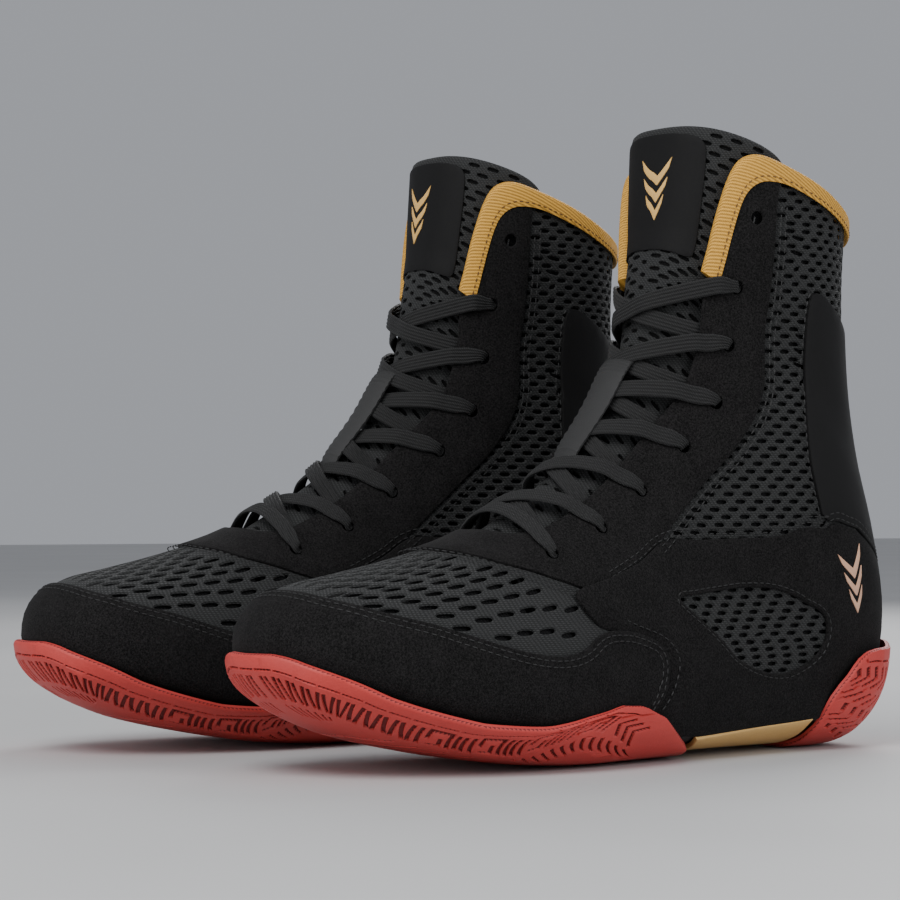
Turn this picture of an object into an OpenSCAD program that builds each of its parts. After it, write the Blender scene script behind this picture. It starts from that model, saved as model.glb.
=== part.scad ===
// A pair of high boxing boots, toes towards -Y, the wearer's left boot at +X.
// Every shell follows one skin: place s runs from the toe (0) to the collar (19),
// angle a runs round each section, 0 on top or in front, 90 on the outer side,
// 180 underneath or behind.  Depths are measured along the skin's normal, + outwards.

/* [Boot] */
// Length of the sole from heel to toe
boot_length = 290; // [235:1:350]
// Width of the upper across the ball of the foot
ball_width = 93; // [76:1:113]
// Height of the collar's side peaks above the ground
shaft_height = 222; // [180:1:270]

/* [Upper] */
// Thickness of the suede panels
suede_t = 1.2; // [0.8:0.1:1.8]
// Thickness of the mesh panels
mesh_t = 0.8; // [0.5:0.1:1.2]
// Thickness of the toe puff, heel stiffener and insole board
stiffener_t = 1; // [0.8:0.1:1.4]
// Thickness of the lining
lining_t = 0.8; // [0.5:0.1:1.2]
// Thickness of the lower tongue
tongue_t = 2.5; // [1.5:0.1:3.5]
// Thickness of the padded top of the tongue
tongue_top_t = 3.2; // [2:0.1:4.5]
// How far the collar binding stands out from the suede
binding_proud = 0.8; // [0.4:0.1:1.5]
// Diameter of the punched lace holes
eyelet_d = 5.2; // [4.6:0.1:6.4]

/* [Lace] */
// Width of the flat lace
lace_w = 4.2; // [3.2:0.1:4.4]
// Thickness of the flat lace
lace_t = 1.2; // [0.8:0.1:1.5]
// Length of the tip on each end of the lace
aglet_l = 16; // [8:1:22]

/* [Sole] */
// Thickness of the rubber under the foot
outsole_t = 3.1; // [2:0.1:5]
// Thickness of the foam midsole
midsole_t = 2.9; // [2:0.1:5]
// Thickness of the rubber's side wall at its top edge
sole_wall = 2.1; // [1.2:0.1:3]
// Thickness of the removable sockliner
sockliner_t = 3; // [2:0.1:5]

/* [Pair] */
// Distance between the centre lines of the two boots
boots_apart = 128; // [126:1:200]
// How far the right boot stands ahead of the left one
stagger = 21; // [0:1:50]
// Angle between the two boots, toes turned out
toe_out = 6; // [0:1:14]

/* [Hidden] */

gap = 0.5;              // clearance between two layers
lining_gap = 0.8;       // clearance on each side of the softer lining

// Depths of the layers below the skin, and the sole's layers outside it
mesh_top = -suede_t - gap;
lining_top = mesh_top - max(mesh_t, stiffener_t) - lining_gap;
lining_in = lining_top - lining_t;
tongue_out = lining_in - lining_gap;
binding_in = lining_in - gap;
top_out = binding_in - lining_gap;
patch_t = 0.8;
emblem_t = 0.5;
sole_in = gap + 0.2;     // the rubber wall stands a little further off the suede
rubber_in = gap + midsole_t + gap;
sole_stack = rubber_in + outsole_t;
cut_in = 0.6;           // how far the sole's underside passes the ground before it is cut flat

// Sections of the boot, one for each whole place from -1 to 21: front point (distance from the
// heel, height), back point, share of the section behind its widest line, half widths outer and
// inner, sideways shift, squareness in front and behind.
SECTIONS = [
    [276, 23, 279, 51, 0.50, -24, -22, -6, 2.0, 2.0],
    [286, 35, 286, 35, 0.50, 0, 0, -8, 2.0, 2.0],
    [280, 51, 277, 23, 0.42, 25, 24, -7, 2.1, 2.2],
    [268, 59, 263, 17, 0.36, 36, 36, -5, 2.2, 2.4],
    [250, 63, 244, 11, 0.30, 43, 43, -3, 2.2, 2.7],
    [228, 68, 222, 6, 0.26, 47, 46, -1, 2.1, 3.0],
    [204, 75, 198, 2, 0.23, 48, 45, 0, 2.0, 3.2],
    [183, 85, 172, 0, 0.21, 46, 41, 0, 1.9, 3.2],
    [165, 96, 145, 0, 0.21, 42, 37, 0, 1.9, 3.2],
    [151, 107, 116, 0, 0.24, 39, 34, 0, 1.9, 3.0],
    [140, 119, 86, 0, 0.28, 36, 33, 0, 2.0, 2.8],
    [132, 131, 56, 0, 0.32, 35, 34, 0, 2.1, 2.6],
    [126, 142, 29, 1, 0.37, 36, 35, 0, 2.2, 2.4],
    [123, 153, 10, 12, 0.42, 36, 35, 0, 2.3, 2.2],
    [121, 163, 3, 35, 0.46, 36, 35, 0, 2.4, 2.1],
    [120, 172, 6, 63, 0.49, 35, 34, 0, 2.5, 2.0],
    [119, 181, 14, 91, 0.50, 34, 33, 0, 2.5, 2.0],
    [118, 190, 20, 116, 0.50, 35, 34, 0, 2.5, 2.0],
    [117, 200, 23, 140, 0.50, 36, 35, 0, 2.5, 2.0],
    [116, 210, 24, 164, 0.50, 37, 36, 0, 2.5, 2.0],
    [115, 221, 23, 188, 0.50, 38, 37, 0, 2.5, 2.0],
    [114, 232, 22, 212, 0.50, 39, 38, 0, 2.5, 2.0],
    [113, 243, 21, 236, 0.50, 39, 38, 0, 2.5, 2.0]];
last_section = len(SECTIONS) - 1;
section_length = 283;   // heel to toe in the list above
section_heel = 3;
section_width = 93;
section_ankle = 70;     // the shaft stretches above this height only
section_peak = 215;

x_scale = ball_width / section_width;
y_scale = (boot_length - 7) / section_length;
z_scale = (shaft_height - sole_stack - section_ankle) / (section_peak - section_ankle);

function height(z) = sole_stack + (z <= section_ankle ? z : section_ankle + (z - section_ankle) * z_scale);
function slope(i) = i <= 0 ? SECTIONS[1] - SECTIONS[0]
    : i >= last_section ? SECTIONS[last_section] - SECTIONS[last_section - 1]
    : (SECTIONS[i + 1] - SECTIONS[i - 1]) / 2;
function section(s) = let (u = min(max(s + 1, 0), last_section - 0.0001), i = floor(u), t = u - i)
    (2 * t * t * t - 3 * t * t + 1) * SECTIONS[i] + (t * t * t - 2 * t * t + t) * slope(i)
    + (3 * t * t - 2 * t * t * t) * SECTIONS[i + 1] + (t * t * t - t * t) * slope(i + 1);

// A point of the skin
function skin(s, a) = let (
        q = section(s),
        front = cos(a) >= 0,
        n = front ? q[8] : q[9],
        reach = sign(cos(a)) * pow(abs(cos(a)), 2 / n),
        half = sin(a) >= 0 ? q[5] : q[6],
        share = q[4] + (front ? 1 - q[4] : q[4]) * reach,
        from_heel = q[2] + (q[0] - q[2]) * share)
    [x_scale * (q[7] + half * sign(sin(a)) * pow(abs(sin(a)), 2 / n)),
     boot_length / 2 - 3.5 - (from_heel - section_heel) * y_scale,
     height(q[3] + (q[1] - q[3]) * share)];
function normal(s, a) = let (
        n = cross(skin(s, a + 1.5) - skin(s, a - 1.5), skin(s + 0.02, a) - skin(s - 0.02, a)))
    n / norm(n);
// A point at a depth from the skin
function at(s, a, depth) = skin(s, a) + depth * normal(s, a);

// Grids of places: a list of rows, each a list of [s, a]
function mix(p, q, t) = p + (q - p) * t;
function deep(grid, depth) = [for (row = grid) [for (p = row) at(p[0], p[1], depth)]];
function both_sides(line) = concat(line, [for (i = [len(line) - 2:-1:0]) [line[i][0], 360 - line[i][1]]]);
// Strip between two lines of places, with n cells across
function strip(near, far, n) = [for (i = [0:len(near) - 1]) [for (j = [0:n]) mix(near[i], far[i], j / n)]];
function other_side(grid) = [for (i = [len(grid) - 1:-1:0]) [for (p = grid[i]) [p[0], 360 - p[1]]]];
function round_angle(a) = a > 180 ? 360 - a : a < 0 ? -a : a;

// Closed solid between an outer and an inner grid of points
module slab(outer, inner, closed = false) {
    r = len(outer);
    c = len(outer[0]);
    n = r * c;
    last = closed ? c - 1 : c - 2;
    function o(i, j) = i * c + j % c;
    function k(i, j) = n + i * c + j % c;
    function quad(p, q, s, t) = [[p, q, s], [p, s, t]];
    cells = [for (i = [0:r - 2]) for (j = [0:last]) each concat(
        quad(o(i, j), o(i + 1, j), o(i + 1, j + 1), o(i, j + 1)),
        [[k(i, j), k(i + 1, j + 1), k(i + 1, j)], [k(i, j), k(i, j + 1), k(i + 1, j + 1)]])];
    ends = [for (j = [0:last]) each concat(
        quad(o(0, j), o(0, j + 1), k(0, j + 1), k(0, j)),
        quad(o(r - 1, j + 1), o(r - 1, j), k(r - 1, j), k(r - 1, j + 1)))];
    sides = closed ? [] : [for (i = [0:r - 2]) each concat(
        quad(o(i + 1, 0), o(i, 0), k(i, 0), k(i + 1, 0)),
        quad(o(i, c - 1), o(i + 1, c - 1), k(i + 1, c - 1), k(i, c - 1)))];
    polyhedron([for (row = outer) each row, for (row = inner) each row], concat(cells, ends, sides));
}
module layer(grid, top, thickness, closed = false)
    slab(deep(grid, top), deep(grid, top - thickness), closed);

// Style lines of the upper
tip = 0.03;
cap_fan = 1.7;          // up to this place the toe cap's rows run straight across
feather = 131;          // angle at which the upper turns under the foot
// Place where the toe cap ends, at each angle
function cap_end(a) = lookup(a, [[0, 2.4], [30, 2.65], [45, 3], [58, 3.55], [65, 4.05], [69, 4.9], [72, 5.9],
    [76, 7.15], [84, 7.55], [92, 7.35], [103, 7.05], [115, 6.95], [140, 6.95]]);
// Place where the eyestay's front edge crosses the vamp, at each angle
function vamp_end(a) = lookup(a, [[0, 4.4], [28, 4.75], [45, 5.4], [56, 6.05], [90, 6.4]]);
// Place of the heel overlay's top edge, at each angle
function overlay_top(a) = lookup(a, [[57, 8.25], [69, 9.8], [83, 11.6], [94, 12.55], [110, 13.1], [130, 13.45],
    [155, 13.7], [180, 13.8]]);
// Collar: the edge, and the lower edge of its binding
COLLAR_EDGE = both_sides([[14.95, 40.5], [15.6, 42.5], [16.5, 45], [17.4, 48], [18.2, 51.5], [18.75, 56], [19.05, 62],
    [19.2, 70], [19.22, 83], [19.2, 100], [19.15, 120], [19.12, 150], [19.1, 180]]);
COLLAR_INSET = both_sides([[14.95, 50.5], [15.6, 52.5], [16.4, 55], [17.15, 57.5], [17.75, 60], [18.15, 63],
    [18.45, 67.5], [18.65, 73.5], [18.8, 84], [18.83, 100], [18.83, 120], [18.84, 150], [18.84, 180]]);
function collar_top(a) = lookup(a, [[60, 17.6], [64, 18.05], [69, 18.4], [75, 18.6], [84, 18.72], [180, 18.78]]);
// Lace holes, bottom to top; the last pair is spare
EYELETS = [[5.9, 39], [7.1, 41], [8.4, 41], [10, 44], [11.6, 48], [13.3, 52], [15.3, 60], [17.6, 69]];
laced = len(EYELETS) - 1;
function throat(s) = lookup(s, [[5.2, 0], [5.5, 21], [5.9, 27], [7, 29], [8.35, 29], [10, 32], [11.7, 36], [13, 38],
    [14.65, 41]]);
EYESTAY_INNER = [[18.42, 71], [18.12, 65.5], [17.6, 61.5], [16.7, 58], [15.7, 54.5], [14.85, 51.8], [14.6, 41],
    [13.8, 39.5], [13, 38], [11.7, 36], [10.8, 34], [10, 32], [9.2, 30], [8.35, 29], [7.6, 29], [7, 29], [6.4, 28.5],
    [5.9, 27], [5.5, 21], [5.4, 16], [5.3, 11], [5.22, 5.5], [5.2, 0]];
EYESTAY_OUTER = [[18.6, 79], [18.3, 79], [17.8, 79], [17.1, 79], [16.3, 78], [15.6, 76.5], [15, 74.5],
    [14.3, 72], [13.5, 69], [12.4, 63.5], [11.5, 59], [10.6, 56], [9.8, 55], [9, 55], [8.3, 55.5], [7.6, 56], [6.9, 56.5],
    [6.3, 56], [5.5, 44.5], [4.95, 33], [4.65, 22], [4.45, 11], [4.4, 0]];
// Heel overlay: front edge beside the toe cap, then pairs of top and lower points back to the heel
OVERLAY_TOP = [[8.25, 57], [9.05, 63], [9.8, 69], [10.7, 76], [11.6, 83], [12.1, 88.5], [12.55, 94], [12.85, 102],
    [13.1, 110], [13.3, 120], [13.45, 130], [13.57, 142], [13.67, 154], [13.75, 167], [13.8, 180]];
OVERLAY_LOW = [[8.1, feather], [8.7, feather], [9.3, feather], [9.9, feather], [10.4, feather], [10.75, feather],
    [11, 132], [11.25, 134], [11.45, 138], [11.65, 143], [11.8, 149], [11.88, 156], [11.95, 163], [12, 171], [12, 180]];
OVERLAY_FRONT = [[6.3, 60], [7.0, 69.5], [7.6, 77], [7.78, 85], [7.5, 95], [7.25, 107], [7.15, feather]];

// The cap's rows run straight across the toe and then fan out to its long side wings
function cap_place(t, a) = t <= 1 ? t * cap_fan : mix(cap_fan, cap_end(abs(a)), t - 1);
module toe_cap() color("#1d1d1f")
    layer([for (t = [0.02, 0.24, 0.5, 0.76, 1, 1.16, 1.34, 1.54, 1.77, 2])
        [for (a = [-feather, -119, -107, -96, -86, -79, -73, -67, -57, -43, -29, -14, 0,
            14, 29, 43, 57, 67, 73, 79, 86, 96, 107, 119, feather]) [cap_place(t, a), a]]], 0, suede_t);
module vamp_mesh() color("#2b2b2e")
    layer([for (t = [0, 0.3, 0.65, 1]) [for (a = [-66, -61, -54, -44, -33, -22, -11, 0, 11, 22, 33, 44, 54, 61, 66])
        [mix(cap_end(abs(a)) + 0.04, vamp_end(abs(a)) - 0.03, t), a]]], mesh_top, mesh_t);
module eyestay() color("#1a1a1c") difference() {
    half = strip(EYESTAY_OUTER, EYESTAY_INNER, 3);
    layer(concat(half, [for (i = [len(half) - 2:-1:0]) [for (p = half[i]) [p[0], -p[1]]]]), 0, suede_t);
    for (e = EYELETS) for (side = [-1, 1]) bore(e[0], side * e[1], eyelet_d);
}
// A round cutter along the skin's normal
module bore(s, a, d) {
    n = normal(s, a);
    translate(skin(s, a)) rotate([0, acos(n[2]), atan2(n[1], n[0])])
        cylinder(h = 5, d = d, center = true, $fn = 24);
}
function mesh_places() = [for (t = [0, 0.12, 0.26, 0.42, 0.6, 0.8, 1]) [for (v = [0, 0.1, 0.22, 0.36, 0.5, 0.66, 0.83, 1])
    let (low = mix(52, 179.3, v), high = mix(76, 179.3, v))
    mix([overlay_top(max(low, 57)) + 0.04, low], [collar_top(high), high], t)]];
module quarter_mesh_outer() color("#2b2b2e") layer(mesh_places(), mesh_top, mesh_t);
module quarter_mesh_inner() color("#2b2b2e") layer(other_side(mesh_places()), mesh_top, mesh_t);
module window_mesh() color("#2b2b2e") {
    places = [for (t = [0:0.25:1]) [for (v = [0:0.25:1])
        mix(mix([7.95, 70], [9.4, 113.5], v), mix([10.5, 80], [11.3, 104], v), t)]];
    layer(places, mesh_top, mesh_t);
    layer(other_side(places), mesh_top, mesh_t);
}
module heel_overlay() color("#1d1d1f") difference() {
    rows = len(OVERLAY_FRONT) - 1;
    front = [for (p = OVERLAY_FRONT) p];
    second = [for (i = [0:rows]) mix(front[i], mix(OVERLAY_TOP[0], OVERLAY_LOW[0], i / rows), 0.5)];
    half = concat([front, second], [for (k = [0:len(OVERLAY_TOP) - 1])
        [for (i = [0:rows]) mix(OVERLAY_TOP[k], OVERLAY_LOW[k], i / rows)]]);
    layer(concat(half, [for (k = [len(half) - 2:-1:0]) [for (p = half[k]) [p[0], 360 - p[1]]]]), 0, suede_t);
    window_cutter();
}
// Teardrop window in the heel overlay, the same on both sides of the boot
module window_cutter() {
    nose = skin(8.2, 72);
    top = skin(9.45, 79);
    tail = skin(10.9, 96);
    low = skin(9.75, 108);
    outline = [[nose[1], nose[2]], [mix(nose[1], top[1], 0.5), top[2] - 0.5], [top[1], top[2]],
        [mix(top[1], tail[1], 0.5), top[2] - 1.5], [tail[1] - 3, mix(top[2], tail[2], 0.45)],
        [tail[1] + 1.5, mix(tail[2], low[2], 0.1)], [tail[1] - 1, mix(tail[2], low[2], 0.45)],
        [mix(tail[1], low[1], 0.6), low[2] + 2], [low[1], low[2]],
        [mix(low[1], nose[1], 0.35), mix(low[2], nose[2], 0.3)]];
    multmatrix([[0, 0, 1, -ball_width], [1, 0, 0, 0], [0, 1, 0, 0], [0, 0, 0, 1]])
        linear_extrude(2 * ball_width) polygon(outline);
}
module back_stay() color("#1a1a1c") {
    columns = [93, 98, 107, 120, 135, 150, 165, 180];
    low = both_sides([for (a = columns) [overlay_top(a) + 0.06, a]]);
    high = both_sides([for (a = columns) [lookup(a, [[93, 16.1], [97, 16.75], [104, 17.1], [180, 17.2]]), a]]);
    grid = [for (t = [0:0.25:1]) [for (i = [0:len(low) - 1]) mix(low[i], high[i], t)]];
    layer(grid, 0, suede_t);
}
module collar_binding() color("#dcab54") {
    places = strip(COLLAR_EDGE, COLLAR_INSET, 1);
    slab(deep(places, binding_proud), deep(places, binding_in));
}

// Lining, in two pieces: a sock round the forefoot and an open quarter with the throat cut out
TOE_PLACES = [tip, 0.38, 0.75, 1.2, 1.8, 2.55, 3.45, 4.3, 5];
module vamp_lining() color("#3a3a3d")
    layer([for (s = TOE_PLACES) [for (j = [0:17]) [s, j * 20]]], lining_top, lining_t, closed = true);
function lining_edge(s) = lookup(s, [[5.1, 34], [7, 50], [8.4, 50], [10, 53], [11.6, 57], [13.3, 61], [15.3, 69],
    [17, 75], [18.4, 80]]);
module quarter_lining() color("#3a3a3d") {
    half = [0, 0.1, 0.2, 0.31, 0.43, 0.56, 0.7, 0.85, 1];
    places = [5.12, 6, 7, 8, 9, 10, 11, 12, 13, 14, 15, 16, 17];
    open = [for (s = places) both_sides([for (v = half) [s, mix(lining_edge(s), 180, v)]])];
    rim = both_sides([for (v = half) let (a = mix(lining_edge(18.2), 180, v)) [collar_top(a), a]]);
    layer(concat(open, [rim]), lining_top, lining_t);
}
module toe_puff() color("#8d8478")
    layer([for (s = [tip, 0.38, 0.75, 1.2, 1.8, 2.25]) [for (a = [-116:11.6:116]) [s, a]]], mesh_top, stiffener_t);
module heel_stiffener() color("#8d8478")
    layer([for (t = [0:0.2:1]) [for (a = [120:12:240]) let (b = round_angle(a))
        [mix(lookup(b, [[120, 11.35], [144, 11.75], [180, 11.95]]), lookup(b, [[120, 12.6], [150, 13.4], [180, 13.5]]), t), a]]],
        mesh_top, stiffener_t);
FOOT_PLACES = [1, 1.8, 2.6, 3.5, 4.5, 5.5, 6.6, 7.7, 8.8, 9.9, 11.1];
module insole_board() color("#b9a88a")
    layer([for (s = FOOT_PLACES) [for (a = [143, 155, 167, 180, 193, 205, 217]) [s, a]]], mesh_top, stiffener_t);
module sockliner() color("#222226")
    layer([for (s = FOOT_PLACES) [for (a = [136, 146, 157, 168, 180, 192, 203, 214, 224]) [s + 0.05, a]]],
        lining_in - lining_gap - 0.3, sockliner_t);

// Sole: depths of the foam and the rubber, both measured outwards
function foam_out(s) = gap + midsole_t * lookup(s, [[0.8, 0.1], [2, 0.85], [3, 1], [10.9, 1], [11.6, 0.6]]);
function rubber_inside(s, a) = round_angle(a) < 129 ? sole_in
    : mix(sole_in, foam_out(s) + gap, lookup(s, [[0.3, 0], [1, 1], [11.6, 1], [12.2, 0]]));
function rubber_outside(s, a) = let (b = round_angle(a),
        under = lookup(s, [[0, 0], [1, 0.3], [2, 0.75], [3, 0.97], [5, 1], [11.1, 1], [12, 0.55], [13, 0]]))
    min(mix(sole_in + sole_wall, sole_stack + cut_in, under),
        sole_in + sole_wall + (sole_stack - sole_wall) * lookup(b, [[90, 0], [110, 0.16], [128, 0.45], [145, 1], [180, 1]]));
module rubber(grid) difference() {
    slab([for (row = grid) [for (p = row) at(p[0], p[1], rubber_outside(p[0], p[1]))]],
        [for (row = grid) [for (p = row) at(p[0], p[1], rubber_inside(p[0], p[1]))]]);
    translate([-boot_length / 2, -boot_length, -20]) cube([boot_length, 2 * boot_length, 20]);
}
function forefoot_edge(s) = lookup(s, [[0, 90], [0.45, 91], [0.95, 101], [2.45, 114], [3.95, 117], [4.95, 110], [5.65, 99],
    [6.3, 93], [6.75, 96], [7.15, 108]]);
FOREFOOT = [for (t = [0, 0.05, 0.11, 0.18, 0.27, 0.38, 0.5, 0.61, 0.7, 0.79, 0.87, 0.93, 0.97, 1])
    both_sides([for (v = [0, 0.4, 0.75, 1, 2, 3, 4, 5])
        let (last = 7.15 + 0.85 * lookup(v, [[0, 0], [1, 0.35], [3, 0.9], [5, 1]]),
             s = tip + (last - tip) * t,
             edge = forefoot_edge(tip + (7.15 - tip) * t))
        [s, v <= 1 ? mix(edge, 128.5, v) : lookup(v, [[1, 128.5], [2, 135], [3, 148], [4, 164], [5, 180]])]])];
module outsole_forefoot() color("#c93c3a") rubber(FOREFOOT);
HEEL = [for (t = [0:0.2:1]) both_sides([for (a = [121, 124.5, 128.5, 135, 143, 155, 167, 180]) [mix(
        lookup(a, [[121, 11.15], [124.5, 10.7], [130, 10.45], [147, 10.1], [180, 9.98]]),
        lookup(a, [[121, 11.35], [124.5, 11.7], [130, 11.98], [149, 12.55], [165, 12.85], [180, 12.95]]), t), a]])];
module outsole_heel() color("#c93c3a") rubber(HEEL);
module shank() color("#deb36c") {
    grid = [for (t = [0, 0.33, 0.66, 1]) both_sides([for (a = [127, 131, 135, 143, 155, 167, 180])
        [mix(lookup(a, [[127, 7.65], [148, 8], [180, 8.1]]), lookup(a, [[127, 10.4], [147, 9.98], [180, 9.86]]), t), a]])];
    slab([for (row = grid) [for (p = row) at(p[0], p[1], min(rubber_outside(p[0], p[1]), sole_stack - 1))]],
        [for (row = grid) [for (p = row) at(p[0], p[1], rubber_inside(p[0], p[1]))]]);
}
module midsole() color("#4a4a4d") {
    grid = [for (s = FOOT_PLACES) [for (a = [137, 143, 155, 167, 180, 193, 205, 217, 223]) [s, a]]];
    slab([for (row = grid) [for (p = row) at(p[0], p[1], foam_out(p[0]))]], deep(grid, -suede_t));
}

// Tongue: the lower part lies under the laces, the top part tilts back into the boot's mouth
split = 14.35;          // place where the top part starts
function tongue_half(s) = lookup(s, [[5.1, 20], [5.5, 26], [7, 38], [10, 42], [13, 48], [14.2, 50]]);
module tongue() color("#242427")
    layer([for (s = [5.12, 5.6, 6, 7, 8, 9, 10, 11, 12, 13, split - 0.3])
        [for (v = [-1:0.25:1]) [s - (s > 14 ? 0.35 * v * v : 0), v * tongue_half(s)]]], tongue_out, tongue_t);
function tongue_top_low(a) = split + 2.1 * pow(abs(a) / 62, 2);
function tongue_top_high(a) = lookup(abs(a), [[0, 19.45], [35, 19.5], [50, 19.45], [58, 19.3], [62, 19]]);
module tongue_top() color("#242427")
    layer([for (t = [0:0.2:1]) [for (a = [-62, -56, -46, -35, -24, -12, 0, 12, 24, 35, 46, 56, 62])
        [mix(tongue_top_low(a), tongue_top_high(a), t), a]]], top_out, tongue_top_t);
patch_top = top_out + gap / 2 + patch_t;
module tongue_patch() color("#141415")
    layer([for (t = [0:0.2:1]) [for (a = [-34, -23, -12, 0, 12, 23, 34])
        [mix(tongue_top_low(a) + 0.45, 19.25, t), a]]], patch_top, patch_t);
// Generic mark: two nested chevrons
module chevrons(place, angle, wide, tall, top) {
    for (k = [0, 1])
        layer([for (t = [0, 1]) [for (v = [-1, -0.5, 0, 0.5, 1])
            [place + tall * (abs(v) * 0.6 + 0.55 * k - 0.8 + 0.3 * t), angle + wide * (v * (1 - 0.25 * k))]]], top, emblem_t);
}
module tongue_emblem() color("#dcab54") chevrons(17.2, 0, 15, 1.5, patch_top + gap / 2 + emblem_t);
module heel_emblem() color("#c98f72") chevrons(12.3, 110, 10, 0.45, gap / 2 + emblem_t);
module lace_keeper() color("#1a1a1c")
    layer([for (s = [9.7, 10.3, 10.9, 11.5, 12.1]) [for (a = [-13, 0, 13]) [s, a]]], tongue_out + gap + 0.9, 0.9);

// Lace: one flat cord.  From each end it goes into the top used hole, zigzags down across the
// tongue and meets itself in a straight bar over the lowest pair.
under = -suede_t - 0.4 - lace_t / 2;
over = 0.5 + lace_t / 2;
pass_low = over + 0.2;
pass_high = pass_low + lace_t + gap;
function hole(i, side, depth) = [EYELETS[i][0], side * EYELETS[i][1], depth];
// From hole i on one side up to hole i + 1 on the other side
function strand(i, side, crossing) = let (s0 = EYELETS[i][0], s1 = EYELETS[i + 1][0])
    [hole(i, side, under),
     [mix(s0, s1, 0.36), side * (throat(mix(s0, s1, 0.36)) - 3), under],
     [mix(s0, s1, 0.5), side * (throat(s0) - 15), mix(under, crossing, 0.6)],
     [mix(s0, s1, 0.6), 0, crossing],
     [mix(s0, s1, 0.86), -side * (throat(mix(s0, s1, 0.86)) + 1), over + (i == laced - 2 ? binding_proud + gap : 0.3)],
     hole(i + 1, -side, over)];
function tail(side) = [hole(laced - 1, side, under),
    [15.75, side * 63, under], [16.3, side * 65.5, under], [16.9, side * 67, under]];
function climb(side, crossing) = [for (i = [0:laced - 2]) each strand(i, i % 2 == 0 ? side : -side, crossing)];
function backwards(list) = [for (i = [len(list) - 1:-1:0]) list[i]];
bar_place = EYELETS[0][0] - 0.08;
bar = [hole(0, 1, over), for (a = [30:-15:-30]) [bar_place, a, over + 0.3], hole(0, -1, over)];
LACE = concat(backwards(tail(1)), backwards(climb(1, pass_low)), bar, climb(-1, pass_high), tail(-1));
LACE_POINTS = [for (p = LACE) at(p[0], p[1], p[2])];
function ring_at(i) = let (
        n = len(LACE) - 1,
        p = LACE[i],
        run = LACE_POINTS[min(i + 1, n)] - LACE_POINTS[max(i - 1, 0)],
        along = run / norm(run),
        up = skin(p[0] + 0.05, p[1]) - skin(p[0] - 0.05, p[1]),
        level = up - (up * along) * along,
        wide = i < 4 || i > n - 4 ? cross(along, normal(p[0], p[1])) : level,
        side_dir = wide / norm(wide),
        thick = cross(along, side_dir))
    [for (k = [0:7]) let (t = 45 * k + 22.5) LACE_POINTS[i] + side_dir * (lace_w / 2 * cos(t) / cos(22.5))
        + thick * (lace_t / 2 * sin(t) / sin(67.5))];
module lace() color("#111112") {
    rings = [for (i = [0:len(LACE) - 1]) ring_at(i)];
    n = len(rings);
    polyhedron([for (r = rings) each r], concat([[for (k = [0:7]) k]], [[for (k = [7:-1:0]) (n - 1) * 8 + k]],
        [for (i = [0:n - 2]) for (k = [0:7]) each [[i * 8 + k, (i + 1) * 8 + (k + 1) % 8, i * 8 + (k + 1) % 8],
            [i * 8 + k, (i + 1) * 8 + k, (i + 1) * 8 + (k + 1) % 8]]]));
}
module lace_tips() color("#0c0c0d") for (side = [-1, 1]) {
    start = at(17.0, side * 67.2, under);
    ahead = at(17.8, side * 69, under);
    run = ahead - start;
    translate(start) rotate([0, acos(run[2] / norm(run)), atan2(run[1], run[0])])
        cylinder(h = aglet_l * 0.5, d = lace_t * 1.1, $fn = 16);
}

// Placing: both boots turn out about their middles, and the pair is centred on the origin
turn = toe_out / 2;
sole_points = [for (grid = [FOREFOOT, HEEL]) for (row = grid) for (p = row) at(p[0], p[1], rubber_outside(p[0], p[1]))];
sole_y = [for (p = sole_points) p[0] * sin(turn) + p[1] * cos(turn)];
centre_y = (min(sole_y) + max(sole_y)) / 2;
module left() translate([boots_apart / 2, stagger / 2 - centre_y, 0]) rotate([0, 0, turn]) children();
module right() translate([0, -stagger / 2 - centre_y, 0]) mirror([1, 0, 0]) translate([boots_apart / 2, 0, 0])
    rotate([0, 0, turn]) children();

left() outsole_forefoot();  // left_outsole_forefoot
left() outsole_heel();  // left_outsole_heel
left() shank();  // left_shank
left() midsole();  // left_midsole
left() insole_board();  // left_insole_board
left() sockliner();  // left_sockliner
left() toe_puff();  // left_toe_puff
left() heel_stiffener();  // left_heel_stiffener
left() vamp_lining();  // left_vamp_lining
left() quarter_lining();  // left_quarter_lining
left() toe_cap();  // left_toe_cap
left() vamp_mesh();  // left_vamp_mesh
left() eyestay();  // left_eyestay
left() quarter_mesh_outer();  // left_quarter_mesh_outer
left() quarter_mesh_inner();  // left_quarter_mesh_inner
left() window_mesh();  // left_window_mesh
left() heel_overlay();  // left_heel_overlay
left() back_stay();  // left_back_stay
left() collar_binding();  // left_collar_binding
left() tongue();  // left_tongue
left() tongue_top();  // left_tongue_top
left() tongue_patch();  // left_tongue_patch
left() tongue_emblem();  // left_tongue_emblem
left() heel_emblem();  // left_heel_emblem
left() lace_keeper();  // left_lace_keeper
left() lace();  // left_lace
left() lace_tips();  // left_lace_tips
right() outsole_forefoot();  // right_outsole_forefoot
right() outsole_heel();  // right_outsole_heel
right() shank();  // right_shank
right() midsole();  // right_midsole
right() insole_board();  // right_insole_board
right() sockliner();  // right_sockliner
right() toe_puff();  // right_toe_puff
right() heel_stiffener();  // right_heel_stiffener
right() vamp_lining();  // right_vamp_lining
right() quarter_lining();  // right_quarter_lining
right() toe_cap();  // right_toe_cap
right() vamp_mesh();  // right_vamp_mesh
right() eyestay();  // right_eyestay
right() quarter_mesh_outer();  // right_quarter_mesh_outer
right() quarter_mesh_inner();  // right_quarter_mesh_inner
right() window_mesh();  // right_window_mesh
right() heel_overlay();  // right_heel_overlay
right() back_stay();  // right_back_stay
right() collar_binding();  // right_collar_binding
right() tongue();  // right_tongue
right() tongue_top();  // right_tongue_top
right() tongue_patch();  // right_tongue_patch
right() tongue_emblem();  // right_tongue_emblem
right() heel_emblem();  // right_heel_emblem
right() lace_keeper();  // right_lace_keeper
right() lace();  // right_lace
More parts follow.
